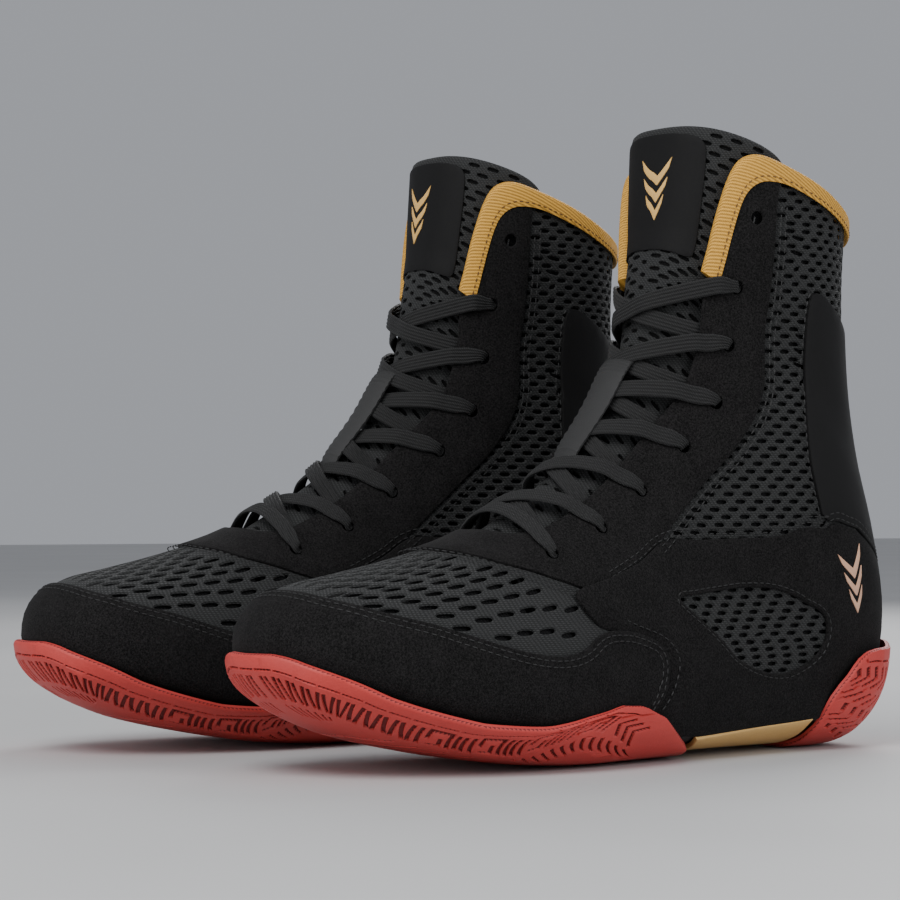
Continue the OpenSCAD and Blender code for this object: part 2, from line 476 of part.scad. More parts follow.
right() lace_tips();  // right_lace_tips
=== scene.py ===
"""The looks of a pair of high boxing boots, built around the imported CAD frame.

Both boots share one surface, the skin.  A place s runs from the toe (0) to the collar (19) and an
angle a runs round each section: 0 on top or in front, 90 outside, 180 underneath or behind.  Shapes
are made once in millimetres, in the left boot's own frame, and then placed on both sides.
"""

import math

import bpy
import numpy as np
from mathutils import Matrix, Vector, geometry, kdtree


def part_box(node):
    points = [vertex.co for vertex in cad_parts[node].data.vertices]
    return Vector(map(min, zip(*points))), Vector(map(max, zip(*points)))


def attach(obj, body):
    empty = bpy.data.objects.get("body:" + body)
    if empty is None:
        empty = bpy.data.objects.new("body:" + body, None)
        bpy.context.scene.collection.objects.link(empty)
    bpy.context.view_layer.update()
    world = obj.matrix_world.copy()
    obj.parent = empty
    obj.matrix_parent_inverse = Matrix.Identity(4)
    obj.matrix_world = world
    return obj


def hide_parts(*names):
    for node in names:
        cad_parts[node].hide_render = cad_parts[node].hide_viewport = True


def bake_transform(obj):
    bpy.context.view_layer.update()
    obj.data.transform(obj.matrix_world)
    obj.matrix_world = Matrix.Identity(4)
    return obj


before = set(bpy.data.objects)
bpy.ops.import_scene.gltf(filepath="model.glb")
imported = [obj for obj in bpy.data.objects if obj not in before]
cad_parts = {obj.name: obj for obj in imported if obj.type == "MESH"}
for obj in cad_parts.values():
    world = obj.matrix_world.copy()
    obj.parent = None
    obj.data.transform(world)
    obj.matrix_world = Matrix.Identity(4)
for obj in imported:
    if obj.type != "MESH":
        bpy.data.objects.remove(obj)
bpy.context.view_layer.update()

SIDES = ("left", "right")
BOOTS_APART = 128.0
TURN = math.radians(3)
STAGGER = 21.0
SOLE_LENGTH = 290.0
SOLE_STACK = 7.0

# Sections for each whole place from -1 to 21: front point (distance from the heel, height), back
# point, share behind the widest line, half widths outer and inner, shift, squareness front and back
SECTIONS = np.array([
    [276, 23, 279, 51, 0.50, -24, -22, -6, 2.0, 2.0],
    [286, 35, 286, 35, 0.50, 0, 0, -8, 2.0, 2.0],
    [280, 51, 277, 23, 0.42, 25, 24, -7, 2.1, 2.2],
    [268, 59, 263, 17, 0.36, 36, 36, -5, 2.2, 2.4],
    [250, 63, 244, 11, 0.30, 43, 43, -3, 2.2, 2.7],
    [228, 68, 222, 6, 0.26, 47, 46, -1, 2.1, 3.0],
    [204, 75, 198, 2, 0.23, 48, 45, 0, 2.0, 3.2],
    [183, 85, 172, 0, 0.21, 46, 41, 0, 1.9, 3.2],
    [165, 96, 145, 0, 0.21, 42, 37, 0, 1.9, 3.2],
    [151, 107, 116, 0, 0.24, 39, 34, 0, 1.9, 3.0],
    [140, 119, 86, 0, 0.28, 36, 33, 0, 2.0, 2.8],
    [132, 131, 56, 0, 0.32, 35, 34, 0, 2.1, 2.6],
    [126, 142, 29, 1, 0.37, 36, 35, 0, 2.2, 2.4],
    [123, 153, 10, 12, 0.42, 36, 35, 0, 2.3, 2.2],
    [121, 163, 3, 35, 0.46, 36, 35, 0, 2.4, 2.1],
    [120, 172, 6, 63, 0.49, 35, 34, 0, 2.5, 2.0],
    [119, 181, 14, 91, 0.50, 34, 33, 0, 2.5, 2.0],
    [118, 190, 20, 116, 0.50, 35, 34, 0, 2.5, 2.0],
    [117, 200, 23, 140, 0.50, 36, 35, 0, 2.5, 2.0],
    [116, 210, 24, 164, 0.50, 37, 36, 0, 2.5, 2.0],
    [115, 221, 23, 188, 0.50, 38, 37, 0, 2.5, 2.0],
    [114, 232, 22, 212, 0.50, 39, 38, 0, 2.5, 2.0],
    [113, 243, 21, 236, 0.50, 39, 38, 0, 2.5, 2.0]], float)
SLOPES = np.vstack([SECTIONS[1] - SECTIONS[0], (SECTIONS[2:] - SECTIONS[:-2]) / 2,
                    SECTIONS[-1] - SECTIONS[-2]])
MIRROR = np.array([1, -1])  # turns the second coordinate over: a place to the other side


def section(s):
    u = np.clip(np.asarray(s, float) + 1, 0, len(SECTIONS) - 1 - 1e-4)
    i = np.floor(u).astype(int)
    t = (u - i)[..., None]
    return ((2 * t**3 - 3 * t**2 + 1) * SECTIONS[i] + (t**3 - 2 * t**2 + t) * SLOPES[i]
            + (3 * t**2 - 2 * t**3) * SECTIONS[i + 1] + (t**3 - t**2) * SLOPES[i + 1])


def skin(s, a):
    """Points of the upper's outer surface, in millimetres."""
    s, a = np.broadcast_arrays(np.asarray(s, float), np.asarray(a, float))
    q = section(s)
    cos, sin = np.cos(np.radians(a)), np.sin(np.radians(a))
    front = cos >= 0
    power = 2 / np.where(front, q[..., 8], q[..., 9])
    share = q[..., 4] + np.where(front, 1 - q[..., 4], q[..., 4]) * np.sign(cos) * np.abs(cos)**power
    from_heel = q[..., 2] + (q[..., 0] - q[..., 2]) * share
    across = np.where(sin >= 0, q[..., 5], q[..., 6]) * np.sign(sin) * np.abs(sin)**power
    return np.stack([q[..., 7] + across, SOLE_LENGTH / 2 - 0.5 - from_heel,
                     q[..., 3] + (q[..., 1] - q[..., 3]) * share + SOLE_STACK], -1)


def unit(v):
    return v / np.maximum(np.linalg.norm(v, axis=-1, keepdims=True), 1e-9)


def normal(s, a):
    s, a = np.broadcast_arrays(np.asarray(s, float), np.asarray(a, float))
    return unit(np.cross(skin(s, a + 1.5) - skin(s, a - 1.5), skin(s + 0.02, a) - skin(s - 0.02, a)))


def at(s, a, depth):
    return skin(s, a) + np.asarray(depth, float)[..., None] * normal(s, a)


def lookup(x, table):
    t = np.array(table, float)
    return np.interp(x, t[:, 0], t[:, 1])


def travel(points):
    """Distance along a line of points, from its start."""
    return np.concatenate([[0], np.cumsum(np.linalg.norm(np.diff(points, axis=0), axis=1))])


def columns_at(marks, run, line):
    """Points of a line where its run reaches the marks."""
    return np.stack([np.interp(marks, run, column) for column in np.asarray(line).T], -1)


def both_sides(line):
    """A line from the front to the back, followed by its mirror image."""
    return list(line) + [(s, 360 - a) for s, a in reversed(line[:-1])]


def smooth(points, steps=6, closed=False):
    """Catmull-Rom curve through the points."""
    p = np.asarray(points, float)
    if closed:
        p = np.vstack([p[-1:], p, p[:2]])
    else:
        p = np.vstack([2 * p[:1] - p[1:2], p, 2 * p[-1:] - p[-2:-1]])
    t = np.linspace(0, 1, steps, endpoint=False)[:, None]
    out = [0.5 * (2 * b + (c - a) * t + (2 * a - 5 * b + 4 * c - d) * t**2 + (3 * b - a - 3 * c + d) * t**3)
           for a, b, c, d in zip(p[:-3], p[1:-2], p[2:-1], p[3:])]
    curve = np.vstack(out)
    return curve if closed else np.vstack([curve, p[-2:-1]])


# Charts: flat coordinates, in about millimetres, that stand for places on the skin
class Plain:
    def places(self, uv):
        return uv[..., 0] / 12, uv[..., 1] / 0.8

    def flat(self, line):
        line = np.asarray(line, float)
        return np.stack([line[..., 0] * 12, line[..., 1] * 0.8], -1)


class Polar:
    """Runs smoothly through the tip of the toe, where s is 0."""
    def places(self, uv):
        return np.hypot(uv[..., 0], uv[..., 1]) / 12, np.degrees(np.arctan2(uv[..., 0], -uv[..., 1]))

    def flat(self, line):
        line = np.asarray(line, float)
        r, a = line[..., 0] * 12, np.radians(line[..., 1])
        return np.stack([r * np.sin(a), -r * np.cos(a)], -1)


PLAIN, POLAR = Plain(), Polar()


def tangents(chart, uv, step=0.05):
    def point(du, dv):
        s, a = chart.places(uv + np.array([du, dv]))
        return skin(s, a)
    return (point(step, 0) - point(-step, 0)) / (2 * step), (point(0, step) - point(0, -step)) / (2 * step)


def turned_ccw(loop):
    x, y = loop[:, 0], loop[:, 1]
    return loop if np.sum(x * np.roll(y, -1) - y * np.roll(x, -1)) > 0 else loop[::-1]


def resample(chart, loop, spacing, closed=True):
    loop = np.asarray(loop, float)
    line = np.vstack([loop, loop[:1]]) if closed else loop
    s, a = chart.places(line)
    run = travel(skin(s, a))
    n = max(3, int(round(run[-1] / spacing)))
    return columns_at(np.linspace(0, run[-1], n, endpoint=not closed), run, line)


def inset(chart, loop, distance, closed=True):
    """The line moved sideways over the surface, to the left of its run, by a true distance."""
    if closed:
        t = unit(np.roll(loop, -1, 0) - np.roll(loop, 1, 0))
    else:
        t = unit(np.gradient(loop, axis=0))
    left = np.stack([-t[:, 1], t[:, 0]], -1)
    du, dv = tangents(chart, loop)
    g11, g12, g22 = (du * du).sum(1), (du * dv).sum(1), (dv * dv).sum(1)
    det = g11 * g22 - g12 * g12
    d = np.stack([(g22 * left[:, 0] - g12 * left[:, 1]) / det,
                  (g11 * left[:, 1] - g12 * left[:, 0]) / det], -1)
    size = np.linalg.norm(du * d[:, :1] + dv * d[:, 1:], axis=1, keepdims=True)
    return loop + distance * d / np.maximum(size, 1e-9)


def stamp(chart, place, shape, heading):
    """A flat shape in millimetres laid on the surface at a place, its x along the heading."""
    uv = chart.flat(np.array(place, float))
    du, dv = tangents(chart, uv)
    n = unit(np.cross(du, dv))
    x = unit(heading - np.dot(heading, n) * n)
    y = np.cross(n, x)
    spots = shape[:, :1] * x + shape[:, 1:] * y
    return uv + spots @ np.linalg.pinv(np.stack([du, dv], 1)).T


def inside(points, loop):
    x, y = points[:, 0][:, None], points[:, 1][:, None]
    x0, y0 = loop[:, 0], loop[:, 1]
    x1, y1 = np.roll(x0, -1), np.roll(y0, -1)
    rise = np.where(y1 == y0, 1e-12, y1 - y0)
    crossing = ((y0 > y) != (y1 > y)) & (x < (x1 - x0) * (y - y0) / rise + x0)
    return crossing.sum(1) % 2 == 1


def inside_any(points, loops):
    hit = np.zeros(len(points), bool)
    for loop in loops:
        low, high = loop.min(0), loop.max(0)
        near = np.flatnonzero(((points >= low) & (points <= high)).all(1) & ~hit)
        if len(near):
            hit[near] = inside(points[near], loop)
    return hit


# A groove starts this far outside its line, dips a little on it and reaches its floor inside it
GROOVE_OUTSIDE, GROOVE_DIP, GROOVE_INSIDE = 0.12, 0.15, 0.22


def sheet(chart, outline, top, thickness, holes=(), grooves=(), lip=0.5, hole_lip=0.45, spacing=3.2,
          edge=1.6, groove_depth=0.9, relief=None):
    """A closed sheet on the surface: rounded rim, rounded holes and recessed grooves.
    Returns its points in millimetres, its faces and the numbers of the groove floors' faces."""
    depth_of = top if callable(top) else (lambda s, a: np.full(np.shape(s), float(top)))
    rim = turned_ccw(resample(chart, outline, edge))
    loops, sinks = [rim, inset(chart, rim, 0.3 * lip), inset(chart, rim, lip)], [lip, 0.3 * lip, 0.0]
    holes = [turned_ccw(h) for h in holes]
    for h in holes:
        loops += [h, inset(chart, h, -hole_lip)]
        sinks += [hole_lip, 0.0]
    grooves = [turned_ccw(g) for g in grooves]
    for g in grooves:
        loops += [inset(chart, g, -GROOVE_OUTSIDE), g, inset(chart, g, GROOVE_INSIDE)]
        sinks += [0.0, GROOVE_DIP, groove_depth]
    flat_points = np.vstack(loops)
    sink = np.concatenate([np.full(len(l), k) for l, k in zip(loops, sinks)])
    low, high = rim.min(0), rim.max(0)
    grid = np.stack(np.meshgrid(np.arange(low[0], high[0], spacing), np.arange(low[1], high[1], spacing)),
        -1)
    grid[1::2, :, 0] += spacing / 2
    grid = grid.reshape(-1, 2)
    grid = grid[inside(grid, rim) & ~inside_any(grid, holes) & ~inside_any(grid, grooves)]
    tree = kdtree.KDTree(len(flat_points))
    for i, p in enumerate(flat_points):
        tree.insert((p[0], p[1], 0), i)
    tree.balance()
    grid = np.array([p for p in grid if tree.find((p[0], p[1], 0))[2] > 0.45 * spacing]).reshape(-1, 2)
    points = np.vstack([flat_points, grid])
    sink = np.concatenate([sink, np.zeros(len(grid))])
    edges, start = [], 0
    for l in loops:
        edges += [(start + k, start + (k + 1) % len(l)) for k in range(len(l))]
        start += len(l)
    made, _, faces, origin, _, _ = geometry.delaunay_2d_cdt([Vector(p) for p in points], edges, [], 0, 1e-7)
    flat = np.array([(p.x, p.y) for p in made])
    kept_sink = np.array([sink[o[0]] if len(o) else 0.0 for o in origin])
    tri = np.array([f for f in faces if len(f) == 3], int)
    middle = flat[tri].mean(1)
    tri = tri[inside(middle, rim) & ~inside_any(middle, holes)]
    used, tri = np.unique(tri, return_inverse=True)
    tri = tri.reshape(-1, 3)
    flat, kept_sink = flat[used], kept_sink[used]
    s, a = chart.places(flat)
    depth = depth_of(s, a)
    outer = at(s, a, depth - kept_sink)
    if relief is not None:
        outer = outer + relief(s, a)[:, None] * normal(s, a)
    inner = at(s, a, depth - thickness)
    facing = np.cross(outer[tri[:, 1]] - outer[tri[:, 0]], outer[tri[:, 2]] - outer[tri[:, 0]])
    if (facing * normal(s, a)[tri[:, 0]]).sum() < 0:
        tri = tri[:, ::-1]
    n = len(outer)
    sides = np.vstack([tri[:, [0, 1]], tri[:, [1, 2]], tri[:, [2, 0]]])
    code = sides[:, 0] * n + sides[:, 1]
    lone = sides[~np.isin(sides[:, 1] * n + sides[:, 0], code)]
    walls = [(j, i, n + i, n + j) for i, j in lone]
    faces = [tuple(t) for t in tri] + [tuple(t) for t in tri[:, ::-1] + n] + walls
    # Faces on the groove floors: piece() gives them a darker second material, painted shade in the grooves.
    deep = np.flatnonzero(kept_sink[tri].mean(1) > 0.45 * groove_depth) if grooves else []
    return np.vstack([outer, inner]), faces, set(int(k) for k in deep)


def grid_faces(rows, columns, closed=False):
    faces = []
    for i in range(rows - 1):
        for j in range(columns if closed else columns - 1):
            k = (j + 1) % columns
            faces.append((i * columns + j, (i + 1) * columns + j, (i + 1) * columns + k, i * columns + k))
    return faces


def slab(outer, inner, closed=False):
    """Closed shell between two grids of points."""
    r, c = outer.shape[:2]
    n = r * c
    faces = grid_faces(r, c, closed) + [tuple(n + i for i in f[::-1]) for f in grid_faces(r, c, closed)]
    for j in range(c if closed else c - 1):
        k = (j + 1) % c
        faces.append((j, k, n + k, n + j))
        faces.append(((r - 1) * c + k, (r - 1) * c + j, n + (r - 1) * c + j, n + (r - 1) * c + k))
    for i in range(0 if closed else r - 1):
        faces.append(((i + 1) * c, i * c, n + i * c, n + (i + 1) * c))
        faces.append((i * c + c - 1, (i + 1) * c + c - 1, n + (i + 1) * c + c - 1, n + i * c + c - 1))
    return np.vstack([outer.reshape(-1, 3), inner.reshape(-1, 3)]), faces


def joined(parts):
    points, faces, start = [], [], 0
    for p, f, *_ in parts:
        points.append(p)
        faces += [tuple(i + start for i in face) for face in f]
        start += len(p)
    return np.vstack(points), faces


# Placing: the left boot's own frame to the pair's frame, and the right boot as its mirror image
def turned(p):
    x = p[:, 0] * math.cos(TURN) - p[:, 1] * math.sin(TURN)
    y = p[:, 0] * math.sin(TURN) + p[:, 1] * math.cos(TURN)
    return np.stack([x, y, p[:, 2]], -1)


def own_low_y():
    s, a = np.meshgrid(np.linspace(0.02, 1, 40), np.linspace(-131, 131, 60))
    return turned(skin(s.ravel(), a.ravel()))[:, 1].min()


SHIFT_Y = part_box("left_toe_cap")[0].y * 1000 - own_low_y()


def placed(points, side):
    p = turned(points) + np.array([BOOTS_APART / 2, SHIFT_Y, 0])
    if side == "right":
        p = p * np.array([-1, 1, 1]) - np.array([0, STAGGER, 0])
    return p / 1000


def piece(name, shape, material, nodes=(), sharp=40, tongue=False, floor=None, deep=None):
    """One Blender object on each boot, riding its body (tongue pieces only get their placing baked in) and
    standing for the CAD nodes it replaces.
    """
    made = []
    points, faces = shape[:2]
    if floor is not None:
        points = points.copy()
        points[:, 2] = np.maximum(points[:, 2], floor)
    for side in SIDES:
        mesh = bpy.data.meshes.new(f"{side}_{name}")
        kept = faces if side == "left" else [f[::-1] for f in faces]
        mesh.from_pydata(placed(points, side).tolist(), [], kept)
        mesh.validate()
        mesh.shade_smooth()
        mesh.set_sharp_from_angle(angle=math.radians(sharp))
        mesh.materials.append(material)
        # The groove floors take the second, darker material: painted shade in the grooves.
        if deep:
            mesh.materials.append(deep)
            for k in shape[2]:
                mesh.polygons[k].material_index = 1
        obj = bpy.data.objects.new(f"{side}_{name}", mesh)
        bpy.context.scene.collection.objects.link(obj)
        if nodes:
            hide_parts(*[f"{side}_{n}" for n in nodes])
        if tongue:
            bend(obj)
        else:
            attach(obj, f"{side}_boot")
        made.append(obj)
    return made


def bend(obj):
    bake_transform(obj)


# Materials
WAVE_BANDS = 3.2  # bands that a wave texture draws in one metre at scale 1


class Finish:
    """A material, with the short calls that its recipe is written in."""
    def __init__(self, name, turn=(0, 0, 0)):
        self.material = bpy.data.materials.new(name)
        self.material.use_nodes = True
        self.nodes, self.links = self.material.node_tree.nodes, self.material.node_tree.links
        self.shader = self.nodes["Principled BSDF"]
        place = self.add("TexCoord", "Object", {})
        self.place = self.add("Mapping", "Vector", {"Vector": place, "Rotation": turn})

    def plug(self, socket, value):
        """An input takes another node's output, or else a plain value."""
        if isinstance(value, bpy.types.NodeSocket):
            self.links.new(value, socket)
        else:
            socket.default_value = value

    def add(self, kind, output, inputs, **settings):
        node = self.nodes.new("ShaderNode" + kind)
        for key, value in settings.items():
            setattr(node, key, value)
        for key, value in inputs.items():
            self.plug(node.inputs[key], value)
        return node.outputs[output]

    def noise(self, scale, detail=3.0, rough=0.6):
        return self.add("TexNoise", "Fac", {"Vector": self.place, "Scale": scale, "Detail": detail,
                                            "Roughness": rough})

    def waves(self, scale, direction, distortion):
        return self.add("TexWave", "Fac", {"Vector": self.place, "Scale": scale, "Distortion": distortion},
                        wave_type="BANDS", bands_direction=direction, wave_profile="SIN")

    def math(self, operation, first, second):
        return self.add("Math", 0, {0: first, 1: second}, operation=operation)

    def weighted(self, *parts):
        """Sum of textures, each with its weight."""
        terms = [self.math("MULTIPLY", value, weight) for value, weight in parts]
        total = terms.pop()
        while terms:
            total = self.math("ADD", terms.pop(), total)
        return total

    def colour(self, value, low, dark, high, light):
        node = self.nodes.new("ShaderNodeValToRGB")
        for element, place, tone in zip(node.color_ramp.elements, (low, high), (dark, light)):
            element.position = place
            element.color = (*tone, 1)
        self.links.new(value, node.inputs["Fac"])
        return node.outputs["Color"]

    def finished(self, colour, grain, strength, distance, values):
        bump = self.add("Bump", "Normal", {"Height": grain, "Strength": strength, "Distance": distance})
        for key, value in {"Base Color": colour, "Normal": bump, **values}.items():
            self.plug(self.shader.inputs[key], value)
        return self.material


def nap(name, dark, light, scale, roughness=0.92, sheen=0.02, strength=0.35, specular=0.12):
    """Short-napped suede: fine light fibres over a dark ground, brushed a little unevenly."""
    finish = Finish(name)
    fine_grain = finish.noise(scale, 4, 0.75)
    tone = finish.weighted((fine_grain, 0.88), (finish.noise(scale / 14), 0.12))
    return finish.finished(finish.colour(tone, 0.4, dark, 0.64, light), fine_grain, strength, 0.0006, {
        "Roughness": roughness, "Specular IOR Level": specular, "Sheen Weight": sheen,
        "Sheen Roughness": 0.5})


def yarn(name, dark, light, pitch, roughness=0.75, sheen=0.05):
    """Knitted or woven yarn: two crossing sets of ribs at the given pitch in metres."""
    finish = Finish(name)
    scale = 1 / pitch / WAVE_BANDS
    weave = finish.math("MULTIPLY", finish.waves(scale, "DIAGONAL", 1.5),
        finish.waves(scale * 1.3, "Z", 1.0))
    tone = finish.weighted((weave, 0.6), (finish.noise(2200, 2), 0.5))
    return finish.finished(finish.colour(tone, 0.2, dark, 0.75, light), tone, 0.6, 0.0005, {
        "Roughness": roughness, "Sheen Weight": sheen, "Specular IOR Level": 0.2})


def twill(name, dark, light, pitch):
    """Gold binding tape: fine diagonal ribs."""
    finish = Finish(name, turn=(0.5, 0.6, 0.0))
    tone = finish.weighted((finish.waves(1 / pitch / WAVE_BANDS, "Z", 0.6), 0.45),
                           (finish.waves(1 / pitch / 1.9, "Y", 0.8), 0.15), (finish.noise(1500), 0.35))
    return finish.finished(finish.colour(tone, 0.12, dark, 0.7, light), tone, 0.7, 0.0004, {
        "Roughness": 0.62, "Specular IOR Level": 0.25})


def moulded(name, dark, light, roughness, scale=420, strength=0.12):
    """Moulded rubber, plastic or print: a faint grain and slow changes of tone."""
    finish = Finish(name)
    fine_grain, broad = finish.noise(scale * 3), finish.noise(28, 4)
    tone = finish.weighted((fine_grain, 0.4), (broad, 0.6))
    rough = finish.add("MapRange", "Result", {"Value": broad, "To Min": roughness - 0.07,
                                              "To Max": roughness + 0.07})
    return finish.finished(finish.colour(tone, 0.3, dark, 0.7, light), fine_grain, strength, 0.0004, {
        "Roughness": rough})


def grey(value):
    return (value, value, value)


SUEDE = nap("black_suede", grey(0.002), (0.019, 0.0178, 0.018), 1500)
SUEDE_SMOOTH = nap("black_microfibre", grey(0.0035), (0.0078, 0.0075, 0.0078), 2200, 0.7, 0.01, 0.12, 0.2)
MESH = yarn("mesh_yarn", (0.012, 0.0125, 0.0125), (0.042, 0.043, 0.043), 0.0009)
# Near black on the floors of the tongue's slots: painted shade in the slots.
MESH_SLOT_SHADE = yarn("mesh_painted_slot_shade", grey(0.002), grey(0.007), 0.0009, 0.95, 0.0)
LINING = yarn("lining_knit", (0.006, 0.006, 0.0065), (0.018, 0.018, 0.019), 0.0007, 0.9)
LACE = yarn("lace_weave", grey(0.008), grey(0.034), 0.0006, 0.7)
WEBBING = moulded("keeper_webbing", grey(0.012), grey(0.03), 0.75, 900, 0.5)
THREAD = moulded("black_thread", grey(0.008), grey(0.016), 0.6)
TAN_THREAD = moulded("tan_thread", (0.1, 0.045, 0.01), (0.16, 0.08, 0.02), 0.6)
GOLD_TAPE = twill("gold_twill", (0.26, 0.12, 0.015), (0.8, 0.43, 0.075), 0.0009)
GOLD_PRINT = moulded("gold_print", (0.68, 0.4, 0.11), (0.8, 0.49, 0.16), 0.45)
ROSE_PRINT = moulded("rose_gold_print", (0.64, 0.36, 0.22), (0.78, 0.48, 0.34), 0.4)
GOLD_SHANK = moulded("gold_shank", (0.64, 0.38, 0.12), (0.76, 0.47, 0.17), 0.42)
RUBBER = moulded("red_rubber", (0.46, 0.036, 0.03), (0.57, 0.054, 0.044), 0.55, strength=0.2)
# Darker red on the floors of the tread grooves: painted shade in the grooves of the red rubber.
RUBBER_GROOVE_SHADE = moulded("red_rubber_painted_groove_shade", (0.13, 0.008, 0.008), (0.19, 0.014, 0.013), 0.7)
FOAM = moulded("dark_foam", (0.03, 0.03, 0.032), (0.05, 0.05, 0.053), 0.85, strength=0.5)
BOARD = nap("fibre_board", (0.2, 0.17, 0.13), (0.34, 0.3, 0.24), 900, 0.9, 0.1)
FELT = nap("black_felt", grey(0.004), grey(0.012), 900)
TIP = moulded("lace_tip", grey(0.008), grey(0.014), 0.25)

# Style lines of the upper
CAP_LINE = [(1.6, 0), (1.66, 18), (1.88, 36), (2.38, 50), (2.82, 56), (3.3, 61), (3.82, 66.5), (4.34, 71),
    (4.82, 73.8), (5.26, 75), (5.62, 74.6), (5.9, 73), (6.12, 70.8), (6.42, 70.2), (6.86, 72.5), (7.22, 76),
    (7.42, 79), (7.5, 83), (7.46, 87), (7.34, 91.5), (7.15, 99), (6.98, 108), (6.9, 118), (6.9, 131)]
OVERLAY_TOP = [[57, 8.25], [69, 9.8], [83, 11.6], [94, 12.55], [110, 13.1], [130, 13.45], [155, 13.7],
               [180, 13.8]]
COLLAR_EDGE = [[14.95, 40.5], [15.6, 42.5], [16.5, 45], [17.4, 48], [18.2, 51.5], [18.75, 56], [19.05, 62],
               [19.2, 70], [19.22, 83], [19.2, 100], [19.15, 120], [19.12, 150], [19.1, 180]]
COLLAR_INSET = [[14.95, 50.5], [15.6, 52.5], [16.4, 55], [17.15, 57.5], [17.75, 60], [18.15, 63],
    [18.45, 67.5], [18.65, 73.5], [18.8, 84], [18.83, 100], [18.83, 120], [18.84, 150], [18.84, 180]]
EYELETS = [(5.9, 39), (7.1, 41), (8.4, 41), (10, 44), (11.6, 48), (13.3, 52), (15.3, 60), (17.6, 69)]
EYESTAY_OUTER = [(18.9, 79), (18.4, 79), (17.8, 79), (17.1, 79), (16.3, 78), (15.6, 76.5), (15, 74.5),
    (14.3, 72), (13.5, 69), (12.4, 63.5), (11.5, 59), (10.6, 56), (9.8, 55), (9, 55), (8.3, 55.5),
    (7.6, 56), (6.9, 56.5), (6.3, 56), (5.9, 51), (5.5, 44.5), (4.95, 33), (4.65, 22), (4.45, 11), (4.4, 0)]
EYESTAY_INNER = [(18.8, 71), (18.4, 63), (17.8, 58.5), (16.8, 55), (15.8, 51.8), (14.9, 49.5), (14.6, 41),
                 (13.8, 39.5), (13, 38), (11.7, 36), (10.8, 34), (10, 32), (9.2, 30), (8.35, 29), (7.6, 29),
                 (7, 29), (6.4, 28.5), (5.9, 27), (5.5, 21), (5.3, 11), (5.2, 0)]
FEATHER = 131  # angle of the line where the upper meets the sole
ANKLE_FRONT = [(12.35, 89), (12.8, 86.5), (13.2, 86), (14.3, 89), (15.2, 91.5), (16.05, 94), (16.7, 96.5),
               (17.0, 100), (17.15, 106)]
WINDOW = [(8.12, 71.3), (8.5, 73), (9.0, 76), (9.6, 79.5), (10.3, 85), (10.85, 92), (11.05, 99),
          (10.8, 105), (10.3, 109), (9.85, 109.5), (9.5, 106), (9.2, 100), (8.9, 92), (8.55, 82)]


def eyestay_outline():
    outer = smooth(EYESTAY_OUTER, 5)
    inner = np.vstack([smooth(EYESTAY_INNER[:6], 4), smooth(EYESTAY_INNER[6:], 4)])
    return np.vstack([outer, outer[::-1][1:] * MIRROR, inner * MIRROR, inner[::-1][1:]])


def cap_line():
    """The toe cap's rear edge from the inner feather line to the outer one."""
    half = smooth(CAP_LINE, 5)
    return np.vstack([half[::-1] * MIRROR, half[1:]])


def cap_outline():
    outer = np.array([(s, FEATHER) for s in np.linspace(6.6, 0.05, 22)])
    inner = np.array([(s, -FEATHER) for s in np.linspace(0.05, 6.6, 22)])
    return np.vstack([cap_line(), outer, inner])


WAIST_END = 140  # angle where the overlay ends under the foot's waist


def overlay_depth(s, a):
    """The overlay tucks under the toe cap's rear edge and turns under the foot at the waist."""
    b = np.minimum(a, 360 - a)
    waist = np.interp(s, [7.2, 7.9, 10.2, 10.9], [0.5, 1, 1, 0])
    turn = lookup(b, [[112, 0], [122, 1.6], [131, 4.2], [WAIST_END, 5.9]])
    line = lookup(b, [[54, 5.6], [66, 6.05], [70, 6.42], [72.5, 6.86], [76, 7.22], [79, 7.42], [83, 7.5],
                      [87, 7.46], [91.5, 7.34], [99, 7.15], [108, 6.98], [118, 6.9], [180, 6.6]])
    tuck = np.clip((s - line) / 0.14, 0, 1)
    lift = lookup(b, [[54, 0.9], [58, 0.9], [66, 0.5], [72, 0]]) * np.interp(s, [7.6, 8.4], [1, 0])
    return np.where(b < 66, 0, -1.35 * (1 - tuck)) - 0.05 + turn * waist + lift


def overlay_outline():
    front = smooth([(6.75, FEATHER), (6.8, 107), (7.1, 95), (7.25, 85), (7.1, 77.5), (6.6, 72), (6.22, 67.5),
                    (6.0, 61), (5.93, 56), (6.15, 54.6)], 5)
    top = smooth([(6.75, 56), (7.5, 56.6), (8.27, 56.2), (9.05, 63), (9.8, 69), (10.7, 76), (11.6, 83),
                  (12.1, 88.5), (12.55, 94), (12.85, 102), (13.1, 110), (13.3, 120), (13.45, 130),
                  (13.57, 142), (13.67, 154), (13.75, 167), (13.8, 180)], 4)
    half = np.vstack([front, top])
    low = np.array([(12, 180), (12, 171), (11.88, 156), (11.65, 143), (11.25, 134), (10.9, 132), (10.5, 134),
                    (10.3, 139), (10.1, WAIST_END + 1), (9.4, WAIST_END), (8.7, WAIST_END - 2),
                    (8.0, WAIST_END - 4), (7.6, 134), (7.2, FEATHER)])
    return np.vstack([half, half[::-1][1:] * MIRROR + [0, 360], (low[::-1] * MIRROR + [0, 360])[:-1], low])


def ring(radius_x, radius_y, count, power=2.0):
    t = np.arange(count) * 2 * math.pi / count
    c, s = np.cos(t), np.sin(t)
    return np.stack([radius_x * np.sign(c) * np.abs(c)**(2 / power),
                     radius_y * np.sign(s) * np.abs(s)**(2 / power)], -1)


def undulation(amount, length, seed):
    """Slow waves in millimetres that take the machine-made evenness off a sewn panel."""
    def waves_at(s, a):
        return amount * (np.sin(s * 12 / length + seed) * np.cos(a * 0.8 / length * 1.7 + 2 * seed)
                         + 0.5 * np.sin(s * 31 / length - a * 1.1 / length + seed))
    return waves_at


